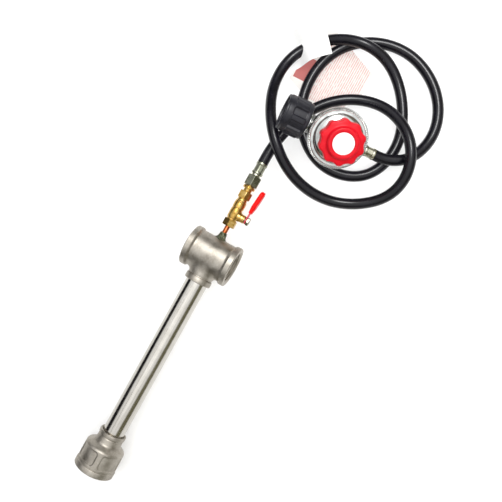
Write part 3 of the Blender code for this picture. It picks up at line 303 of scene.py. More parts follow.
# Spring steel wire, oil tempered: dark grey and smooth
spring_wire = surface(
    "spring_steel_tempered", ("#5a5a5c", "#7c7c7d"), (0.25, 0.4),
    [(0.4, EVEN, 0.5, 0.004), (3.0, EVEN, 0.5, 0.01)], 1.0,
)
# Chrome-plated valve ball, lapped
lapped_chrome = surface(
    "chrome_lapped", ("#cfd0d2", "#dfe0e2"), (0.04, 0.1),
    [(0.3, EVEN, 0.5, 0.001), (4.0, EVEN, 0.5, 0.004)], 1.0,
)


# ---------------------------------------- pieces
BODY_OF = {n: body for body, nodes in frame["record"]["behaviour"]["bodies"].items() for n in nodes}
SLOT_OF = {row["node"]: row["material_slot"] for row in frame["record"]["subparts"]}
CREASE = math.radians(32)


def as_object(name, *shapes):
    """One or more bmeshes as an object in the row's frame, smooth but for its creases."""
    mesh = bpy.data.meshes.new(name)
    whole = bmesh.new()
    for shape in shapes:
        shape.to_mesh(mesh)
        shape.free()
        whole.from_mesh(mesh)
    whole.to_mesh(mesh)
    whole.free()
    mesh.shade_smooth()
    mesh.set_sharp_from_angle(angle=CREASE)
    made = bpy.data.objects.new(name, mesh)
    bpy.context.scene.collection.objects.link(made)
    return made


def keep(made, finish, node):
    """Gives a finished object its material, and puts it on the body of the node that it stands for."""
    made.data.materials.clear()
    made.data.materials.append(finish)
    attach(made, BODY_OF[node])
    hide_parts(node)
    return made


def spun(profile, place, steps=SMOOTH, move=None, edge=0.25, segments=2):
    """A (radius, height) profile spun round Z, with its vertices moved and its sharp edges rounded."""
    shape = bmesh.new()
    verts = [shape.verts.new((r, 0, z)) for r, z in profile]
    pairs = list(zip(verts, verts[1:]))
    if profile[0][0] or profile[-1][0]:
        pairs.append((verts[-1], verts[0]))
    edges = [shape.edges.new(pair) for pair in pairs]
    bmesh.ops.spin(
        shape, geom=verts + edges, cent=(0, 0, 0), axis=(0, 0, 1), angle=math.tau, steps=steps,
        use_merge=True
    )
    bmesh.ops.remove_doubles(shape, verts=shape.verts, dist=1e-4)
    if move:
        for vert in shape.verts:
            move(vert.co)
    bmesh.ops.recalc_face_normals(shape, faces=shape.faces)
    if edge:
        round_edges(shape, edge, segments)
    shape.transform(place @ Matrix.Scale(MM, 4))
    return shape


def round_edges(shape, width, segments=2):
    sharp = [e for e in shape.edges if len(e.link_faces) == 2 and e.calc_face_angle() > CREASE]
    bmesh.ops.bevel(
        shape, geom=sharp, offset=width, segments=segments, affect="EDGES", profile=0.5, material=-1,
        clamp_overlap=True
    )


def carve(made, *others, operation="DIFFERENCE"):
    """Cuts the others from an object, or joins them to it, and takes them away."""
    for other in others:
        modifier = made.modifiers.new("carve", "BOOLEAN")
        modifier.operation = operation
        modifier.solver = "EXACT"
        modifier.object = other
    bpy.context.view_layer.update()
    mesh = bpy.data.meshes.new_from_object(made.evaluated_get(bpy.context.evaluated_depsgraph_get()))
    made.modifiers.clear()
    made.data = mesh
    mesh.shade_smooth()
    mesh.set_sharp_from_angle(angle=CREASE)
    for other in others:
        bpy.data.objects.remove(other, do_unlink=True)
    return made


def hexagon(across, turn=0.0):
    """A move that presses a spun shape's wide part to a hexagon with these flats."""
    def press(co):
        radius = math.hypot(co.x, co.y)
        if radius < across * 0.45:
            return
        angle = (math.atan2(co.y, co.x) - turn) % (math.pi / 3) - math.pi / 6
        most = across / 2 / math.cos(angle)
        if radius > most:
            co.x *= most / radius
            co.y *= most / radius
    return press


def chamfered(low, high, across, bore, rise=1.3, steps=4):
    """The profile of a nut: its ends fall away from the flats to the corners."""
    corner = across / 2 / math.cos(math.pi / 6) + 0.05
    flat = across / 2 - 0.15
    slope = [(flat + (corner - flat) * i / steps, rise * i / steps * 0.55) for i in range(steps + 1)]
    return [
        (bore, low), *((r, low + z) for r, z in slope), *((r, high - z) for r, z in reversed(slope)),
        (bore, high),
    ]


def smoothstep(low, high, x):
    t = min(1.0, max(0.0, (x - low) / (high - low)))
    return t * t * (3 - 2 * t)


def arc(centre, radius, start, end, steps=6):
    """Profile points on an arc, with angles in degrees from the radius axis towards the height axis."""
    angles = [math.radians(start + (end - start) * i / steps) for i in range(steps + 1)]
    return [(centre[0] + radius * math.cos(a), centre[1] + radius * math.sin(a)) for a in angles]


# ---------------------------------------- hose
HOSE_R = 6.5
HOSE_STRAIGHT = 6.0  # how far it runs straight out of each ferrule
HOSE_GAP = 0.3
HOSE_POINTS = 420
FOOT = Vector((MOUTH.x, MOUTH.y, 0))  # the point under the bell's mouth, which the route is measured from
# The hose's route from the burner to the regulator: loops on the table, and the humps where it crosses itself
ROUTE = [
    (-468, 7, 24.2), (-496, 18, 20.8), (-519, 35, 16.5), (-536, 61, 14.8), (-541, 91, 17.8),
    (-532, 119, 25.0), (-511, 142, 30.8), (-485, 153, 28.2), (-456, 149, 16.5), (-431, 125, 8.2),
    (-416, 91, 8.8), (-415, 54, 20.0), (-428, 22, 34.0), (-450, -3, 39.4), (-479, -24, 30.0),
    (-514, -37, 16.0), (-548, -35, 9.4), (-575, -17, 11.4), (-590, 9, 19.8), (-596, 39, 23.0),
    (-592, 70, 14.5), (-574, 96, 8.2), (-548, 115, 7.3), (-520, 126, 7.3), (-490, 126, 7.3),
    (-464, 113, 7.3), (-450, 87, 7.3), (-451, 56, 7.3), (-468, 27, 7.3), (-497, 6, 7.3),
    (-529, -2, 7.3), (-564, 2, 7.3), (-593, 20, 7.3), (-611, 51, 7.3), (-614, 87, 7.3),
    (-600, 122, 7.3), (-573, 148, 7.3), (-543, 158, 7.8), (-515, 154, 11.6), (-495, 140, 18.4),
]


def smooth_curve(points, count):
    """Points spaced along the natural cubic spline through the given ones."""
    points = np.array(points, dtype=float)
    knots = np.concatenate([[0.0], np.cumsum(np.linalg.norm(np.diff(points, axis=0), axis=1))])
    gaps = np.diff(knots)
    last = len(points) - 1
    system, right = np.eye(last + 1), np.zeros_like(points)
    slopes = np.diff(points, axis=0) / gaps[:, None]
    for i in range(1, last):
        system[i, i - 1 : i + 2] = gaps[i - 1], 2 * (gaps[i - 1] + gaps[i]), gaps[i]
        right[i] = 6 * (slopes[i] - slopes[i - 1])
    second = np.linalg.solve(system, right)
    at = np.linspace(0, knots[-1], count)
    k = np.clip(np.searchsorted(knots, at, side="right") - 1, 0, last - 1)
    gap, before, after = gaps[k][:, None], (at - knots[k])[:, None], (knots[k + 1] - at)[:, None]
    bend = (second[k] * after**3 + second[k + 1] * before**3) / (6 * gap)
    return bend + (points[k] / gap - second[k] * gap / 6) * after + (
        points[k + 1] / gap - second[k + 1] * gap / 6
    ) * before


def tube_curve(name, points, radius, resolution=10):
    data = bpy.data.curves.new(name, "CURVE")
    data.dimensions = "3D"
    data.bevel_depth = radius * MM
    data.bevel_resolution = resolution
    data.use_fill_caps = True
    spline = data.splines.new("POLY")
    spline.points.add(len(points) - 1)
    for point, place in zip(spline.points, points):
        point.co = (*place, 1.0)
    made = bpy.data.objects.new(name, data)
    bpy.context.scene.collection.objects.link(made)
    return made


REG_FERRULE_END, REG_FERRULE_FROM, _ = span("regulator_ferrule", REG)
start = MOUTH - X * (FERRULE_TO + HOSE_GAP) * MM
after_start = start - X * 2 * HOSE_STRAIGHT * MM
before_end, end = (
    REG @ Vector((0, 0, (REG_FERRULE_END - HOSE_GAP - back) * MM)) for back in (HOSE_STRAIGHT, 0)
)
route = [start, after_start, *(FOOT + Vector(p) * MM for p in ROUTE), before_end, end]
hose_points = smooth_curve(route, HOSE_POINTS)
hose = tube_curve("hose_piece", hose_points, HOSE_R)
keep(hose, hose_rubber, "hose")


# ---------------------------------------- burner
PANELS, PANEL_TURN, PANEL_HALF = 4, math.radians(11), math.radians(38.5)
PANEL_MIDDLE, PANEL_HALF_LENGTH, PANEL_CORNER, PANEL_DEPTH = 19.4, 9.2, 4.0, 1.3


def bell_panels(co):
    """Shallow panels with round corners, a rib apart, sunk in the bell's wall."""
    radius = math.hypot(co.x, co.y)
    if radius < 23.4 or not 8.4 < co.z < 30.0:
        return
    angle = (math.atan2(co.y, co.x) - PANEL_TURN) % (math.tau / PANELS) - math.pi / PANELS
    side = abs(angle) * radius - PANEL_HALF * radius + PANEL_CORNER
    rise = abs(co.z - PANEL_MIDDLE) - PANEL_HALF_LENGTH + PANEL_CORNER
    outside = math.hypot(max(side, 0), max(rise, 0)) + min(max(side, rise), 0) - PANEL_CORNER
    sunk = 1 - PANEL_DEPTH * smoothstep(-0.1, 1.3, -outside) / radius
    co.x *= sunk
    co.y *= sunk


wall = [(24.2, 8.3 + 0.45 * i) for i in range(48)]
bell = spun(
    [
        (20.4, 0.0), (24.3, 0.0), (REST_R, 0.7), (REST_R, 6.6), (24.7, 7.2), (24.0, 7.5), *wall,
        (24.0, 30.2), (23.2, 31.5),
        (21.8, 32.6), (19.4, 33.9), (17.6, 35.2), (16.4, 36.6), (15.8, 38.2), (15.7, 43.4), (15.2, 43.9),
        (15.0, 44.4),
        (15.2, 44.9), (16.2, 45.2), (16.5, 45.6), (16.5, 49.4), (15.9, 50.0), (14.5, 50.0), (13.6, 49.0),
        (13.6, TUBE_FROM - 0.3), (10.9, TUBE_FROM - 0.3), (10.9, 34.0), (14.0, 31.6), (18.0, 28.4),
        (19.5, 25.0),
        (19.8, 10.0), (20.0, 2.0),
    ],
    BURNER, 72 * PANELS, bell_panels, edge=0.2,
)
keep(as_object("flame_bell_piece", bell), cast_steel, "flame_bell")

PIPE_R, PIPE_BORE_R = 13.35, 10.45
tube = spun(
    [
        (PIPE_BORE_R, TUBE_FROM + 0.5), (PIPE_BORE_R + 0.5, TUBE_FROM), (PIPE_R - 0.8, TUBE_FROM),
        (PIPE_R, TUBE_FROM + 0.8),
        (PIPE_R, TUBE_TO - 0.8), (PIPE_R - 0.8, TUBE_TO), (PIPE_BORE_R + 0.5, TUBE_TO),
        (PIPE_BORE_R, TUBE_TO - 0.5),
    ],
    BURNER, FINE, edge=0.15,
)
keep(as_object("burner_tube_piece", tube), pipe_steel, "burner_tube")

# The tee: its run lies across, its branch looks to the bell, and both flow together in a saddle
TEE_HALF, TEE_BODY_R, THREAD_R = 30.0, 22.9, 19.4
TEE_CENTRE = MOUTH - X * TEE_AT * MM
FRONT = axes_at(TEE_CENTRE, X, Z)
BACK = axes_at(TEE_CENTRE, -X, Z)
half_run = [
    (24.2, TEE_HALF), (REST_R, TEE_HALF - 0.8), (REST_R, 23.6), (24.7, 23.2), (24.6, 22.8), (24.3, 22.4),
    (23.5, 21.6),
    (23.0, 20.6), (TEE_BODY_R, 19.4), (TEE_BODY_R, 16), (TEE_BODY_R, 12), (TEE_BODY_R, 8), (TEE_BODY_R, 4),
]
run = spun(
    [(0, TEE_HALF), *half_run, (TEE_BODY_R, 0), *((r, -z) for r, z in reversed(half_run)), (0, -TEE_HALF)],
    RUN, FINE, edge=0,
)


def saddle(neck_r, neck_at, foot_r, rows, rough=0.0):
    """A move that bends the rows under a neck outwards, until they lie on the tee's run.

    Each row is 1 mm lower than the last, and its place down the flare is on a cubic that leaves the neck
    straight and meets the run at its slope. Rows past the last go inside the run.
    """
    def settle(co):
        if co.z > neck_at - 0.01 or math.hypot(co.x, co.y) < 0.01:
            return
        t = min((neck_at - co.z) / rows, 1.0)
        angle = math.atan2(co.y, co.x)
        foot = foot_r * (1 + rough * (0.5 * math.sin(3 * angle + 0.7) + 0.4 * math.sin(5 * angle + 2.1)))
        on_run = math.sqrt(TEE_BODY_R**2 - (foot * math.cos(angle)) ** 2)
        slope = -foot * math.cos(angle) ** 2 / on_run
        drop, reach = neck_at - on_run, foot - neck_r
        h00, h10, h01, h11 = 2 * t**3 - 3 * t**2 + 1, t**3 - 2 * t**2 + t, 3 * t**2 - 2 * t**3, t**3 - t**2
        radius = h00 * neck_r + h01 * foot + h11 * reach * 1.4
        height = h00 * neck_at - h10 * drop * 1.2 + h01 * on_run + h11 * reach * 1.4 * slope
        under = neck_at - co.z - rows
        if under > 0.01:
            radius, height = foot - 1.0, on_run - 3.0
        co.x, co.y, co.z = radius * math.cos(angle), radius * math.sin(angle), height
    return settle


REACH = TEE_AT - BRANCH_FACE
branch = spun(
    [
        (0, REACH), (15.9, REACH), (16.5, REACH - 0.6), (16.5, REACH - 6.2), (16.2, REACH - 6.8),
        (15.4, REACH - 7.3),
        (15.2, REACH - 7.9), (15.4, REACH - 8.6), (15.6, REACH - 9.4),
        *((15.6, REACH - 9.4 - i) for i in range(1, 13)),
        (15.6, REACH - 22.4), (0, 12.0),
    ],
    FRONT, FINE, saddle(15.6, REACH - 9.4, 20.6, 12), edge=0,
)
threads = [(THREAD_R + (0.45 if i % 2 else -0.35), 28.0 - 1.15 * i) for i in range(10)]
half_bore = [(20.6, TEE_HALF + 4), (20.6, TEE_HALF), (19.9, 29.2), *threads, (18.9, 16.4), (17.6, 14.6)]
bore = spun(
    [(0, TEE_HALF + 4), *half_bore, *((r, -z) for r, z in reversed(half_bore)), (0, -TEE_HALF - 4)],
    RUN, FINE, edge=0,
)
socket = spun(
    [(0, REACH + 4), (14.6, REACH + 4), (14.6, REACH), (13.6, REACH - 1.0), (13.6, 23), (10.9, 22),
     (0, 22)],
    FRONT, SMOOTH, edge=0,
)
throat = spun([(0, REACH), (10.9, REACH), (10.9, 0), (0, 0)], FRONT, SMOOTH, edge=0)
jet_hole = spun([(0, 0), (3.3, 0), (3.3, 27), (0, 27)], BACK, 48, edge=0)
tee = as_object("intake_tee_piece", run)
carve(tee, as_object("branch", branch), operation="UNION")
carve(tee, *(as_object(f"cut_{i}", c) for i, c in enumerate((bore, socket, throat, jet_hole))))
keep(tee, cast_steel, "intake_tee")

jet = spun([(1.4, JET_FROM), (3.0, JET_FROM), (3.0, JET_TO), (1.4, JET_TO)], BURNER, SMALL, edge=0.15)
keep(as_object("jet_pipe_piece", jet), copper, "jet_pipe")
TIP_FROM, TIP_TO = stations("jet_nozzle")
nozzle = spun(
    [
        (0.6, TIP_FROM), (1.6, TIP_FROM), (4.2, TIP_FROM + 4.5), (4.6, TIP_FROM + 5.5),
        (4.6, TIP_FROM + 8.2),
        (4.2, TIP_FROM + 8.5), (4.2, TIP_FROM + 9.3), (4.6, TIP_FROM + 9.6), (4.6, TIP_TO), (3.1, TIP_TO),
        (3.1, TIP_TO - 4.7), (0.6, TIP_TO - 5.8),
    ],
    BURNER, SMALL, edge=0.12,
)
keep(as_object("jet_nozzle_piece", nozzle), brass, "jet_nozzle")

FILLET_TOP = TEE_BODY_R + 8.5
settle = saddle(4.3, FILLET_TOP - 1.0, 7.6, 12, 0.13)


def lumpy(co):
    """Braze that ran and froze: its foot wanders, and its flank is wavy."""
    settle(co)
    radius = math.hypot(co.x, co.y)
    if radius > 3.5:
        angle = math.atan2(co.y, co.x)
        grow = 1 + 0.035 * math.sin(4 * angle + co.z * 0.9) + 0.03 * math.sin(7 * angle - co.z * 1.7)
        co.x *= grow
        co.y *= grow


braze_piece = spun(
    [
        (0, FILLET_TOP), (3.6, FILLET_TOP), (4.1, FILLET_TOP - 0.4), (4.3, FILLET_TOP - 1.0),
        *((4.3, FILLET_TOP - 1.0 - i) for i in range(1, 13)), (4.3, FILLET_TOP - 14.0),
        (0.0, TEE_BODY_R - 3.5),
    ],
    BACK, SMALL, lumpy, edge=0,
)
keep(as_object("braze_fillet_piece", braze_piece), braze, "braze_fillet")


# ---------------------------------------- valve
def nut(low, high, across, bore, place, turn=0.0):
    return spun(chamfered(low, high, across, bore), place, 6 * 24, hexagon(across, turn), edge=0)


lower_hex = nut(VALVE_FROM, VALVE_FROM + 9.0, 14.4, 3.3, BURNER)
barrel = spun(
    [
        (3.3, VALVE_FROM + 0.4), (5.8, VALVE_FROM + 0.4), (6.1, VALVE_FROM + 9.6), (6.3, VALVE_FROM + 10.6),
        (6.9, VALVE_FROM + 11.2), (7.2, VALVE_FROM + 11.8), (7.2, VALVE_FROM + 22.6),
        (6.9, VALVE_FROM + 22.9),
        (6.5, VALVE_FROM + 23.1), (6.5, VALVE_FROM + 24.3), (6.9, VALVE_FROM + 24.5),
        (7.2, VALVE_FROM + 24.8),
        (7.2, VALVE_TO - 2.6), (6.8, VALVE_TO - 2.4), (6.8, VALVE_TO - 1.7), (7.2, VALVE_TO - 1.5),
        (7.2, VALVE_TO - 0.7),
        (6.6, VALVE_TO), (3.3, VALVE_TO),
    ],
    BURNER, SMOOTH, edge=0.1,
)
boss = spun(
    [
        (0, 2.0), (5.8, 2.0), (5.6, 7.6), (5.5, 8.4), (5.1, 9.0), (5.0, 9.8), (5.0, 11.4), (4.7, 11.6),
        (4.7, 12.2), (5.0, 12.4),
        (5.0, 13.6), (4.6, 14.0), (3.9, 14.0), (3.9, 12.0), (0, 12.0),
    ],
    STEM, SMALL, edge=0.1,
)
keep(as_object("valve_body_piece", lower_hex, barrel, boss), brass, "valve_body")

HEX_FROM, HEX_TO = VALVE_TO + 4.0, VALVE_TO + 13.0
neck = spun(
    [(2.6, VALVE_TO + 0.3), (6.2, VALVE_TO + 0.3), (6.2, VALVE_TO + 1.8), (5.7, VALVE_TO + 2.2),
     (5.7, VALVE_TO + 2.9),
     (6.2, VALVE_TO + 3.3), (6.2, HEX_FROM + 1.0), (2.6, HEX_FROM + 1.0)],
    BURNER, SMALL, edge=0.1,
)
retainer = nut(HEX_FROM, HEX_TO, 14.8, 4.4, BURNER, math.radians(14))
keep(as_object("valve_retainer_piece", neck, retainer), brass, "valve_retainer")
FLANGE = HEX_TO + 4.0
nipple = spun(
    [
        (1.9, HEX_TO - 5.6), (4.0, HEX_TO - 5.6), (4.0, HEX_TO + 0.3), (5.0, HEX_TO + 0.3), (5.0, FLANGE),
        (7.1, FLANGE),
        (7.4, FLANGE + 0.4), (7.4, FLANGE + 1.2), (7.0, FLANGE + 1.5), (7.4, FLANGE + 1.8),
        (7.4, FLANGE + 2.6),
        (6.0, FLANGE + 3.6), (4.6, FLANGE + 3.6), (4.6, NUT_FROM + 7.6), (2.6, NUT_FROM + 9.2),
        (1.9, NUT_FROM + 9.2),
    ],
    BURNER, SMALL, edge=0.1,
)
keep(as_object("flare_nipple_piece", nipple), brass, "flare_nipple")

GLAND_LOW, GLAND_HIGH, _ = span("gland_nut", STEM)
gland = spun(
    [
        (2.3, GLAND_LOW), (3.6, GLAND_LOW), (3.6, 14.3), (4.2, 14.3), (4.4, 14.5), (4.4, GLAND_HIGH - 0.1),
        (2.3, GLAND_HIGH),
    ],
    STEM, SMALL, edge=0.08,
)
keep(as_object("gland_nut_piece", gland), clear_zinc, "gland_nut")
stem_threads = [(2.0 - (0.25 if i % 2 else 0.0), 17.0 + 0.4 * i) for i in range(8)]
stem = spun([(0, 5.6), (2.0, 5.6), (2.0, 16.9), *stem_threads, (1.5, 20.5), (0, 20.5)], STEM, 48, edge=0)
keep(as_object("valve_stem_piece", stem), olive_zinc, "valve_stem")
cap_nut = nut(17.0, 20.3, 8.9, 2.2, STEM, 0.3)
keep(as_object("lever_nut_piece", cap_nut), olive_zinc, "lever_nut")

# The lever: a strip that starts at the stem, bends outwards, and carries a thick red dip on its handle
LEVER_OUT, LEVER_BEND, LEVER_STEP, LEVER_LENGTH = 15.2, 7.0, 2.6, 38.0
LEVER_WIDE, LEVER_THICK, LEVER_EYE = 9.0, 1.5, 4.4
OUT = LEVER_OUT + LEVER_THICK / 2
HANDLE = STEM @ Matrix.Translation((0, -LEVER_BEND * MM, OUT * MM)) @ Matrix.Rotation(
    -math.atan2(LEVER_STEP, LEVER_LENGTH - LEVER_BEND), 4, "X"
)
STRIP = math.hypot(LEVER_STEP, LEVER_LENGTH - LEVER_BEND)


def round_lever(co):
    """Rounds the strip's eye end, and narrows its neck between the eye and the handle."""
    along = -co.y
    half = LEVER_WIDE / 2
    wide = half - 1.3 * smoothstep(2.0, 5.0, along) + 1.1 * smoothstep(7.0, 11.0, along)
    if along < 0:
        wide = math.sqrt(max(half**2 - along**2, 0.3))
    co.x *= wide / half


def lengthwise(shape):
    return [e for e in shape.edges if abs(e.verts[0].co.y - e.verts[1].co.y) > 1]


def lever_strip():
    shape = bmesh.new()
    bmesh.ops.create_cube(shape, size=1.0)
    whole = LEVER_EYE + LEVER_LENGTH
    bmesh.ops.scale(shape, vec=(LEVER_WIDE, whole, LEVER_THICK), verts=shape.verts)
    bmesh.ops.translate(shape, vec=(0, LEVER_EYE - whole / 2, OUT), verts=shape.verts)
    bmesh.ops.subdivide_edges(shape, edges=lengthwise(shape), cuts=70)
    rise = LEVER_STEP / (LEVER_LENGTH - LEVER_BEND)
    for vert in shape.verts:
        round_lever(vert.co)
        past = -vert.co.y - LEVER_BEND
        vert.co.z += rise * (max(past, 0) + 0.6 * math.exp(-abs(past) / 1.2))
    round_edges(shape, 0.3)
    shape.transform(STEM @ Matrix.Scale(MM, 4))
    return shape


keep(as_object("valve_lever_piece", lever_strip()), thin_vinyl, "valve_lever")


SLEEVE_WIDE, SLEEVE_LENGTH, SLEEVE_THICK, SLEEVE_EDGE = 12.3, 30.0, 5.9, 2.7
SLEEVE_TIP = STRIP + 1.8


def plump(co):
    """The dip is thickest towards the tip, which is round, and thins out to the root."""
    along = (-co.y - (SLEEVE_TIP - SLEEVE_LENGTH)) / SLEEVE_LENGTH
    tip = max(0.0, 1 - ((along - 0.83) / 0.17) ** 2) ** 0.5 if along > 0.83 else 1.0
    wide = (0.80 + 0.20 * smoothstep(0.0, 0.35, along)) * max(tip, 0.12)
    co.x *= wide
    co.z *= (0.72 + 0.28 * smoothstep(0.0, 0.3, along)) * (0.5 + 0.5 * tip)


def sleeve_shape():
    shape = bmesh.new()
    bmesh.ops.create_cube(shape, size=1.0)
    bmesh.ops.scale(shape, vec=(SLEEVE_WIDE, SLEEVE_LENGTH, SLEEVE_THICK), verts=shape.verts)
    bmesh.ops.translate(shape, vec=(0, -SLEEVE_TIP + SLEEVE_LENGTH / 2, 0), verts=shape.verts)
    bmesh.ops.bevel(
        shape, geom=lengthwise(shape), offset=SLEEVE_EDGE, segments=6, affect="EDGES", profile=0.5,
        material=-1
    )
    bmesh.ops.subdivide_edges(shape, edges=lengthwise(shape), cuts=60)
    for vert in shape.verts:
        plump(vert.co)
    shape.transform(HANDLE @ Matrix.Scale(MM, 4))
    return shape


keep(as_object("lever_sleeve_piece", sleeve_shape()), dipped_vinyl, "lever_sleeve")

# ---------------------------------------- hose ends
swivel = nut(NUT_FROM, NUT_TO, 16.0, 4.5, BURNER, math.radians(9))
keep(as_object("swivel_nut_piece", swivel), olive_zinc, "swivel_nut")
TAIL_FROM, TAIL_TO = stations("hose_tail")
collar = spun(
    [(1.8, TAIL_FROM), (4.0, TAIL_FROM), (4.0, NUT_TO + 0.4), (5.3, NUT_TO + 0.4), (5.6, NUT_TO + 0.8),
     (5.6, FERRULE_FROM - 0.4), (5.2, FERRULE_FROM), (3.2, FERRULE_FROM), (3.0, TAIL_TO), (1.8, TAIL_TO)],
    BURNER, SMALL, edge=0.1,
)
keep(as_object("hose_tail_piece", collar), clear_zinc, "hose_tail")


def crimped(low, high, place):
    """A ferrule with a plain band at each end, squeezed to flats between them."""
    way, long = (1 if high > low else -1), abs(high - low)
    squeezed = [(6.2, 3.6 + i * (long - 7.4) / 8) for i in range(9)]
    profile = [
        (3.6, 0.0), (6.4, 0.0), (6.8, 0.3), (6.9, 0.7), (6.9, 2.3), (6.7, 2.7), (6.25, 3.2), *squeezed,
        (6.25, long - 3.4), (6.7, long - 2.9), (6.9, long - 2.5), (6.9, long - 0.6), (6.75, long),
        (5.9, long), (5.6, long - 0.6), (5.6, 1.6), (3.6, 1.6),
    ]

    def squeeze(co):
        radius, at = math.hypot(co.x, co.y), (co.z - low) * way
        if radius > 6.0 and 3.0 < at < long - 3.2:
            angle = math.atan2(co.y, co.x) % (math.pi / 4) - math.pi / 8
            most = 5.95 / math.cos(angle)
            if radius > most:
                co.x *= most / radius
                co.y *= most / radius
    return spun([(r, low + way * z) for r, z in profile], place, FERRULE_STEPS, squeeze, edge=0)


burner_ferrule = as_object("burner_ferrule_piece", crimped(FERRULE_FROM, FERRULE_TO, BURNER))
keep(burner_ferrule, olive_zinc, "burner_ferrule")
regulator_ferrule = as_object("regulator_ferrule_piece", crimped(REG_FERRULE_FROM, REG_FERRULE_END, REG))
keep(regulator_ferrule, clear_zinc, "regulator_ferrule")

# ---------------------------------------- regulator
case = spun(
    [
        (0, -17.0), (13.2, -17.0), (14.2, -16.4), (14.6, -15.6), (15.5, -6.0), (16.6, -2.0), (18.5, 1.2),
        (22.0, 3.6), (27.0, 5.8),
        (30.4, 7.2), (31.0, 7.9), (31.0, 9.6), (32.6, 9.6), (32.6, 12.6), (0, 12.6),
    ],
    KNOB, 128, edge=0.3,
)
inlet = spun(
    [
        (6.5, -2.9), (10.2, -2.9), (10.9, -3.4), (11.0, -4.2), (11.0, -11.0), (11.4, -13.0), (12.2, -15.4),
        (12.4, -20.0), (12.4, -40.0),
        (6.5, -40.0),
    ],
    REG, SMOOTH, edge=0.2,
)
OUTLET_END = -72.0
outlet = spun(
    [
        (4.9, -33.0), (11.4, -33.0), (11.2, -56.0), (10.6, -58.6), (9.4, -60.4), (9.2, -61.5), (9.2, -63.4),
        (8.7, -63.8), (8.7, -64.8),
        (9.2, -65.2), (9.2, OUTLET_END + 0.8), (8.4, OUTLET_END), (4.9, OUTLET_END),
    ],
    REG, SMOOTH, edge=0.15,
)
keep(as_object("regulator_body_piece", case, inlet, outlet), die_cast, "regulator_body")


CRIMPS, CRIMP_DEPTH = 84, 1.5


def crimp_marks(co):
    """Short marks that the crimping dies leave round the rim."""
    radius = math.hypot(co.x, co.y)
    if 31.4 < radius < 34.0 and co.z > 16.5:
        mark = abs((math.atan2(co.y, co.x) * CRIMPS / math.tau) % 1.0 - 0.5)
        co.z -= 2 * CRIMP_DEPTH * mark * smoothstep(31.5, 31.9, radius) * (1 - smoothstep(33.1, 33.5, radius))


cover = spun(
    [
        (31.4, 8.7), (33.7, 8.7), (34.2, 9.0), (34.3, 9.6), (34.3, 15.8), (34.1, 16.6), (33.7, 17.1),
        (33.2, 17.2), (32.8, 17.2), (32.4, 17.2),
        (32.0, 17.2), (31.6, 17.2), (31.2, 17.0), (31.1, 16.6), (30.9, 16.3), (28.6, 16.3), (28.0, 16.5),
        (27.4, 17.2), (26.8, 18.2), (26.2, 18.9),
        (24.4, 19.7), (22.0, 20.6), (19.8, 21.5), (17.4, 22.6), (15.2, 23.8), (13.4, 25.0), (12.2, 26.2),
        (11.6, 27.6), (11.5, 29.0), (11.5, 35.0),
        (11.0, 35.8), (10.4, 36.0), (4.3, 36.0), (4.3, 32.6), (9.7, 32.6), (9.7, 25.0), (18.8, 20.0),
        (25.4, 17.4), (26.4, 14.4), (33.2, 14.4),
        (33.2, 9.3), (31.4, 9.3),
    ],
    KNOB, 6 * CRIMPS, crimp_marks, edge=0,
)
keep(as_object("regulator_cover_piece", cover), bright_plate, "regulator_cover")

plug = spun(
    [
        (0, -18.9), (2.0, -18.9), (2.4, -17.9), (4.4, -17.9), (4.8, -18.9), (9.2, -18.9), (9.8, -18.6),
        (10.0, -18.2), (10.0, -17.3), (6.0, -17.3), (6.0, -12.0), (0, -12.0),
    ],
    KNOB, SMOOTH, edge=0.15,
)
keep(as_object("bottom_plug_piece", plug), brass_fitting, "bottom_plug")
WASHER_LOW, WASHER_HIGH, WASHER_R = span("inlet_washer", REG)
washer = spun(
    [(6.6, WASHER_LOW), (WASHER_R - 0.4, WASHER_LOW), (WASHER_R, WASHER_LOW + 0.4),
     (WASHER_R, WASHER_HIGH - 0.4),
     (WASHER_R - 0.4, WASHER_HIGH), (6.6, WASHER_HIGH)],
    REG, SMOOTH, edge=0.15,
)
keep(as_object("inlet_washer_piece", washer), bright_plate, "inlet_washer")
OUT_TAIL_LOW, OUT_TAIL_HIGH, _ = span("outlet_tail", REG)
outlet_collar = spun(
    [(1.8, OUT_TAIL_HIGH), (4.4, OUT_TAIL_HIGH), (4.8, OUT_TAIL_HIGH - 1), (4.8, OUTLET_END - 0.3),
     (6.2, OUTLET_END - 0.3),
     (6.6, OUTLET_END - 0.7), (6.6, REG_FERRULE_FROM + 0.7), (6.2, REG_FERRULE_FROM + 0.3),
     (3.1, REG_FERRULE_FROM + 0.3),
     (2.9, OUT_TAIL_LOW), (1.8, OUT_TAIL_LOW)],
    REG, SMALL, edge=0.1,
)
keep(as_object("outlet_tail_piece", outlet_collar), clear_zinc, "outlet_tail")

# The knob: ten finger lobes with round hollows between them, and a blank white disc in a raised ring
KNOB_R, NOTCH_R, NOTCH_DEPTH, LOBES = 25.5, 11.0, 2.2, 10
LOBE_ROOT, LOBE_SOFT = 18.0, 0.45


def lobed(co):
    radius = math.hypot(co.x, co.y)
    if radius < LOBE_ROOT:
        return
    angle = math.atan2(co.y, co.x)
    off = (angle % (math.tau / LOBES)) - math.pi / LOBES
    centre = KNOB_R + NOTCH_R - NOTCH_DEPTH
    side = NOTCH_R**2 - (centre * math.sin(off)) ** 2
    hollow = centre * math.cos(off) - math.sqrt(side) if side > 0 else KNOB_R + 6
    # The smaller of the knob's radius and the hollow's, with a round join between them
    both = sum(math.exp(-(r - 20) / LOBE_SOFT) for r in (KNOB_R, hollow))
    rim = -LOBE_SOFT * math.log(both) + 20
    grown = LOBE_ROOT + (radius - LOBE_ROOT) * (rim - LOBE_ROOT) / (KNOB_R - LOBE_ROOT)
    co.x *= grown / radius
    co.y *= grown / radius


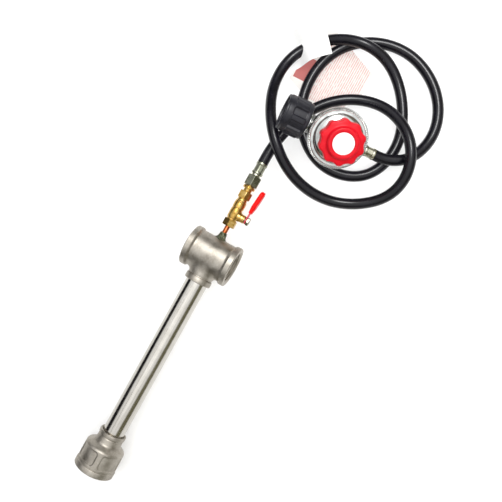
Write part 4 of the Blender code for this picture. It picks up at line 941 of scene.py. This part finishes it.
knob = spun(
    [
        (0, 50.0), (4.3, 50.0), (4.3, 40.0), (8.2, 40.0), (8.6, 46.0), (20.2, 46.0), (21.3, 34.0),
        (21.8, 33.5),
        (24.8, 33.5), (25.3, 33.8), (25.5, 34.4), (25.5, 40.0), (25.5, 45.6),
        *arc((23.3, 46.6), 2.2, 0, 80, 6),
        (21.8, 49.1), (19.6, 49.4), (18.4, 49.7), (17.7, 50.4), (17.3, 51.4), (16.8, 53.6), (16.5, 54.5),
        (16.0, 54.9), (15.4, 55.0), (13.2, 55.0), (12.6, 54.8), (12.3, 54.3), (12.2, 53.6), (0, 53.6),
    ],
    KNOB, 30 * LOBES, lobed, edge=0,
)
keep(as_object("adjusting_knob_piece", knob), knob_abs, "adjusting_knob")
disc = spun(
    [(0, 53.9), (11.8, 53.9), (11.9, 54.1), (11.9, 54.6), (11.7, 54.8), (11.3, 54.9), (0, 54.9)],
    KNOB, SMOOTH, edge=0,
)
keep(as_object("knob_label_piece", disc), label_card, "knob_label")


# The cylinder nut: grip ribs round it, a smooth band at its open end, and a thread inside
RIBS, RIB_FROM, RIB_TO, RIB_HIGH, HOLLOW_DEPTH = 9, 4.2, 21.4, 1.0, 0.9


def grip_ribs(co):
    """Ribs that stand proud of the nut, with hollows between them nearly as deep."""
    radius = math.hypot(co.x, co.y)
    if radius < 21.0 or not 3.6 < co.z < 22.2:
        return
    spacing = math.tau / RIBS
    off = abs((math.atan2(co.y, co.x) + spacing / 2) % spacing - spacing / 2) * radius
    end = smoothstep(0.0, 0.9, min(co.z - RIB_FROM, RIB_TO - co.z))
    up = 1 - smoothstep(2.2, 2.9, off)
    hollow = smoothstep(2.9, 3.7, off)
    grown = 1 + (RIB_HIGH * up - HOLLOW_DEPTH * hollow) * end / radius
    co.x *= grown
    co.y *= grown


nut_wall = [(21.3, 2.2 + 0.45 * i) for i in range(47)]
nut_threads = [(17.4 - (0.9 if i % 2 else 0.0), 28.0 - 1.25 * i) for i in range(13)]
big_nut = spun(
    [
        (9.3, 0), (19.4, 0), (20.4, 0.3), (21.1, 1.0), *nut_wall, (21.3, 26.2), (21.2, 27.0), (20.8, 27.5),
        (20.5, 28.0), (20.5, 29.4),
        (20.0, 30.0), (18.2, 30.0), (17.5, 29.4), *nut_threads, (17.4, 12.0), (17.4, 5.6), (9.3, 5.6),
    ],
    REG, 40 * RIBS, grip_ribs, edge=0,
)
keep(as_object("cylinder_nut_piece", big_nut), nut_nylon, "cylinder_nut")
inlet_nipple = spun(
    [
        (2.6, -17.0), (5.6, -17.0), (6.2, -16.4), (6.2, -0.6), (9.0, -0.6), (9.0, 8.5), (12.1, 8.5),
        (12.5, 8.9), (12.5, 10.2), (10.2, 11.3),
        (7.7, 11.4), (7.4, 11.8), (7.4, 15.0), (6.2, 16.2), (6.2, 19.0), (5.2, 19.0), (5.2, 26.2),
        (4.4, 27.0), (3.0, 27.0), (2.6, 26.6),
    ],
    REG, SMOOTH, edge=0.12,
)
keep(as_object("inlet_nipple_piece", inlet_nipple), brass_fitting, "inlet_nipple")


# ---------------------------------------- papers
LEAFLET = [(-613, -26), (-527, -28), (-500, 37), (-571, 72)]
PRINT_CORNER = FOOT + Vector((*LEAFLET[1], 0)) * MM  # the leaflet's corner that carries a tinted panel
LEAFLET_THICK, LEAFLET_LIFT, CARD_THICK, LINE_SPACING = 0.22, 0.08, 0.36, 1.3


def printed_paper():
    """Offset-printed leaflet: white, with faint rose ruling and one tinted panel."""
    made = bpy.data.materials.new("paper_printed_ruled")
    made.use_nodes = True
    tree = made.node_tree
    shader = tree.nodes["Principled BSDF"]
    at = add(tree, "TexCoord").outputs["Object"]
    here = add(tree, "Mapping", {"Location": PRINT_CORNER}, {"Vector": at}, vector_type="TEXTURE").outputs[0]
    split = add(tree, "SeparateXYZ", links={0: here})
    # Ruled lines, broken up by a stretched noise as thin ink is
    per_line = 1 / (LINE_SPACING * MM)
    rule = add(tree, "Math", {1: per_line}, {0: split.outputs["Y"]}, operation="MULTIPLY").outputs[0]
    wave = add(tree, "Math", {1: 1.0}, {0: rule}, operation="PINGPONG").outputs[0]
    line = add(tree, "MapRange", {"From Min": 0.55, "From Max": 0.75}, {"Value": wave}).outputs[0]
    stretched = add(tree, "Mapping", {"Scale": (220, 900, 1)}, {"Vector": here}).outputs[0]
    broken = add(tree, "TexNoise", {"Scale": 1.0, "Detail": 2.0}, {"Vector": stretched}).outputs["Fac"]
    inked = add(tree, "MapRange", {"From Min": 0.34, "From Max": 0.5}, {"Value": broken}).outputs[0]

    def times(first, second):
        return add(tree, "Math", links={0: first, 1: second}, operation="MULTIPLY").outputs[0]

    def between(socket, low, high):
        where = {0: split.outputs[socket]}
        above = add(tree, "Math", {1: low * MM}, where, operation="GREATER_THAN").outputs[0]
        below = add(tree, "Math", {1: high * MM}, where, operation="LESS_THAN").outputs[0]
        return times(above, below)

    ruled_area = times(between("X", -70, 12), between("Y", 22, 86))
    ink = times(times(line, inked), ruled_area)
    tint = times(between("X", -34, -4), between("Y", 3, 20))
    fibre = add(tree, "TexNoise", {"Scale": 900.0, "Detail": 3.0}, {"Vector": at})
    white = add(
        tree, "Mix", {"A": linear("#d6d1cc"), "B": linear("#e3dfdb")}, {"Factor": fibre.outputs["Fac"]},
        data_type="RGBA",
    )
    ruled = add(
        tree, "Mix", {"B": linear("#cf8a86")}, {"Factor": ink, "A": white.outputs["Result"]},
        data_type="RGBA"
    )
    panel = add(
        tree, "Mix", {"B": linear("#ab5a56")}, {"Factor": tint, "A": ruled.outputs["Result"]},
        data_type="RGBA"
    )
    tree.links.new(panel.outputs["Result"], shader.inputs["Base Color"])
    bump = add(tree, "Bump", {"Strength": 0.6, "Distance": 0.02 * MM}, {"Height": fibre.outputs["Fac"]})
    tree.links.new(bump.outputs[0], shader.inputs["Normal"])
    shader.inputs["Roughness"].default_value = 0.62
    return made


def thin(shape, thickness):
    """Gives a flat sheet its thickness."""
    bmesh.ops.recalc_face_normals(shape, faces=shape.faces)
    bmesh.ops.solidify(shape, geom=shape.faces, thickness=thickness)
    bmesh.ops.recalc_face_normals(shape, faces=shape.faces)
    return shape


def leaflet_shape():
    shape = bmesh.new()
    shape.faces.new([shape.verts.new((x, y, 0)) for x, y in LEAFLET])
    bmesh.ops.subdivide_edges(shape, edges=shape.edges, cuts=16, use_grid_fill=True)
    thin(shape, LEAFLET_THICK)
    low = min(vert.co.z for vert in shape.verts)
    bmesh.ops.translate(shape, vec=(0, 0, LEAFLET_LIFT - low), verts=shape.verts)
    shape.transform(Matrix.Translation(FOOT) @ Matrix.Scale(MM, 4))
    return shape


leaflet = keep(as_object("leaflet_piece", leaflet_shape()), printed_paper(), "leaflet")
edges_of_leaflet = list(zip(LEAFLET, LEAFLET[1:] + LEAFLET[:1]))
sides = [math.dist(a, b) * MM for a, b in edges_of_leaflet]

CARD_WIDE, CARD_AT, CARD_TURN = 46.0, (-564, -31, 0), math.radians(132)
CARD_PROFILE = [
    (-42, 1.0), (-22, 1.2), (-14, 2.2), (-8, 5.5), (-3, 11.0), (2, 17.0), (7, 21.8), (12, 24.5), (19, 25.1),
    (33, 24.5),
]
card_line = smooth_curve([(x, 0, z) for x, z in CARD_PROFILE], 49)
CARD_STRIPS = 12


def card_shape():
    shape = bmesh.new()
    verts = [shape.verts.new((x, -CARD_WIDE / 2, z)) for x, _, z in card_line]
    edges = [shape.edges.new(pair) for pair in zip(verts, verts[1:])]
    for _ in range(CARD_STRIPS):
        made = bmesh.ops.extrude_edge_only(shape, edges=edges)["geom"]
        edges = [e for e in made if isinstance(e, bmesh.types.BMEdge)]
        bmesh.ops.translate(
            shape, vec=(0, CARD_WIDE / CARD_STRIPS, 0),
            verts=[v for v in made if isinstance(v, bmesh.types.BMVert)]
        )
    thin(shape, CARD_THICK)
    turn = Matrix.Translation(Vector(CARD_AT)) @ Matrix.Rotation(CARD_TURN, 4, "Z")
    shape.transform(Matrix.Translation(FOOT) @ Matrix.Scale(MM, 4) @ turn)
    return shape


# The hole in the card that the hose goes through
HOLE_ROOM = 1.2
hole = tube_curve("hole", hose_points, HOSE_R + HOLE_ROOM)
bpy.context.view_layer.update()
solid = bmesh.new()
solid.from_mesh(hole.evaluated_get(bpy.context.evaluated_depsgraph_get()).to_mesh())
bmesh.ops.remove_doubles(solid, verts=solid.verts, dist=1e-6)
bmesh.ops.recalc_face_normals(solid, faces=solid.faces)
bpy.data.objects.remove(hole, do_unlink=True)
card = carve(as_object("hose_card_piece", card_shape()), as_object("hole_solid", solid))
# Coated card: bright white, blank and slightly glossy
hang_card = surface(
    "coated_card_blank", ("#f1f1f0", "#fcfcfb"), (0.4, 0.55),
    [(0.4, EVEN, 0.5, 0.006), (18.0, EVEN, 0.5, 0.06)],
)
keep(card, hang_card, "hose_card")

# ---------------------------------------- pieces inside
FINISHES = {
    "stainless_cast": cast_steel, "stainless_tube": pipe_steel, "copper": copper, "braze": braze,
    "brass": brass_fitting,
    "ball_chrome": lapped_chrome, "ptfe": ptfe, "zinc_plate": clear_zinc, "lever_steel": clear_zinc,
    "red_vinyl": dipped_vinyl, "hose_rubber": hose_rubber, "die_cast": die_cast,
    "cover_plate": bright_plate,
    "black_rubber": seal_rubber, "spring_steel": spring_wire, "knob_red": knob_abs,
    "label_white": label_card,
    "nut_black": nut_nylon, "bushing_black": nut_nylon, "paper": hang_card,
}
for name, node in frame["nodes"].items():
    if not node.hide_render:
        node.data.materials.clear()
        node.data.materials.append(FINISHES[SLOT_OF[name]])

# ---------------------------------------- table and light
table = bmesh.new()
TABLE_HALF, TABLE_DROP = 3.0, 0.0002  # metres
bmesh.ops.create_grid(table, x_segments=1, y_segments=1, size=TABLE_HALF)
bmesh.ops.translate(table, vec=(0, 0, -TABLE_DROP), verts=table.verts)
floor = as_object("floor", table)
table_white = surface(
    "table_matt_white", ("#f6f6f6", "#fbfbfb"), (0.8, 0.9), [(60.0, EVEN, 0.5, 0.0), (9.0, EVEN, 0.5, 0.0)],
)
floor.data.materials.append(table_white)


def studio():
    """A white tent that is open low down, where it is dark on one side and olive grey on the other."""
    world = bpy.data.worlds.new("studio")
    bpy.context.scene.world = world
    world.use_nodes = True
    tree = world.node_tree
    way = add(tree, "SeparateXYZ", links={0: add(tree, "TexCoord").outputs["Generated"]})

    def eased(source, start, end, low=0.0, high=1.0):
        """A value that goes smoothly from low to high while its source goes from start to end."""
        span = {"From Min": start, "From Max": end, "To Min": low, "To Max": high}
        return add(tree, "MapRange", span, {"Value": source}, interpolation_type="SMOOTHSTEP").outputs[0]

    height = eased(way.outputs["Z"], 0.54, 0.66)
    side = eased(way.outputs["Y"], -0.35, 0.35)
    low = add(
        tree, "Mix", {"A": linear("#1b1a1c"), "B": linear("#77745f")}, {"Factor": side}, data_type="RGBA"
    ).outputs["Result"]
    sky = add(
        tree, "Mix", {"B": linear("#ffffff")}, {"Factor": height, "A": low}, data_type="RGBA"
    ).outputs["Result"]
    # One seam between two cloths of the tent, along the burner
    lean = add(tree, "Math", links={0: way.outputs["Y"], 1: way.outputs["Z"]}, operation="DIVIDE").outputs[0]
    off = add(tree, "Math", {1: 0.325}, {0: lean}, operation="ADD").outputs[0]
    near = add(tree, "Math", links={0: off}, operation="ABSOLUTE").outputs[0]
    seam = eased(near, 0.02, 0.06, 0.35, 1.0)
    sky = add(
        tree, "Mix", {"Factor": 1.0}, {"A": sky, "B": seam}, data_type="RGBA", blend_type="MULTIPLY"
    ).outputs["Result"]
    # The roof is brighter straight above
    roof = eased(way.outputs["Z"], 0.84, 0.93, 1.12, 1.6)
    back = tree.nodes["Background"]
    tree.links.new(roof, back.inputs["Strength"])
    tree.links.new(sky, back.inputs["Color"])


def lamp(name, at, towards, size, watts):
    data = bpy.data.lights.new(name, "AREA")
    data.shape = "RECTANGLE"
    data.size, data.size_y = size
    data.energy = watts
    data.use_shadow = False
    made = bpy.data.objects.new(name, data)
    made.matrix_world = axes_at(Vector(at), Vector(at) - Vector(towards), X)
    bpy.context.scene.collection.objects.link(made)


studio()
# A soft box over the hose, which gives its turns their bright lines
lamp("softbox", at=(-0.58, 0.0, 1.15), towards=(-0.2, 0.07, 0), size=(0.42, 0.34), watts=11)
bpy.context.scene.view_settings.view_transform = "Standard"
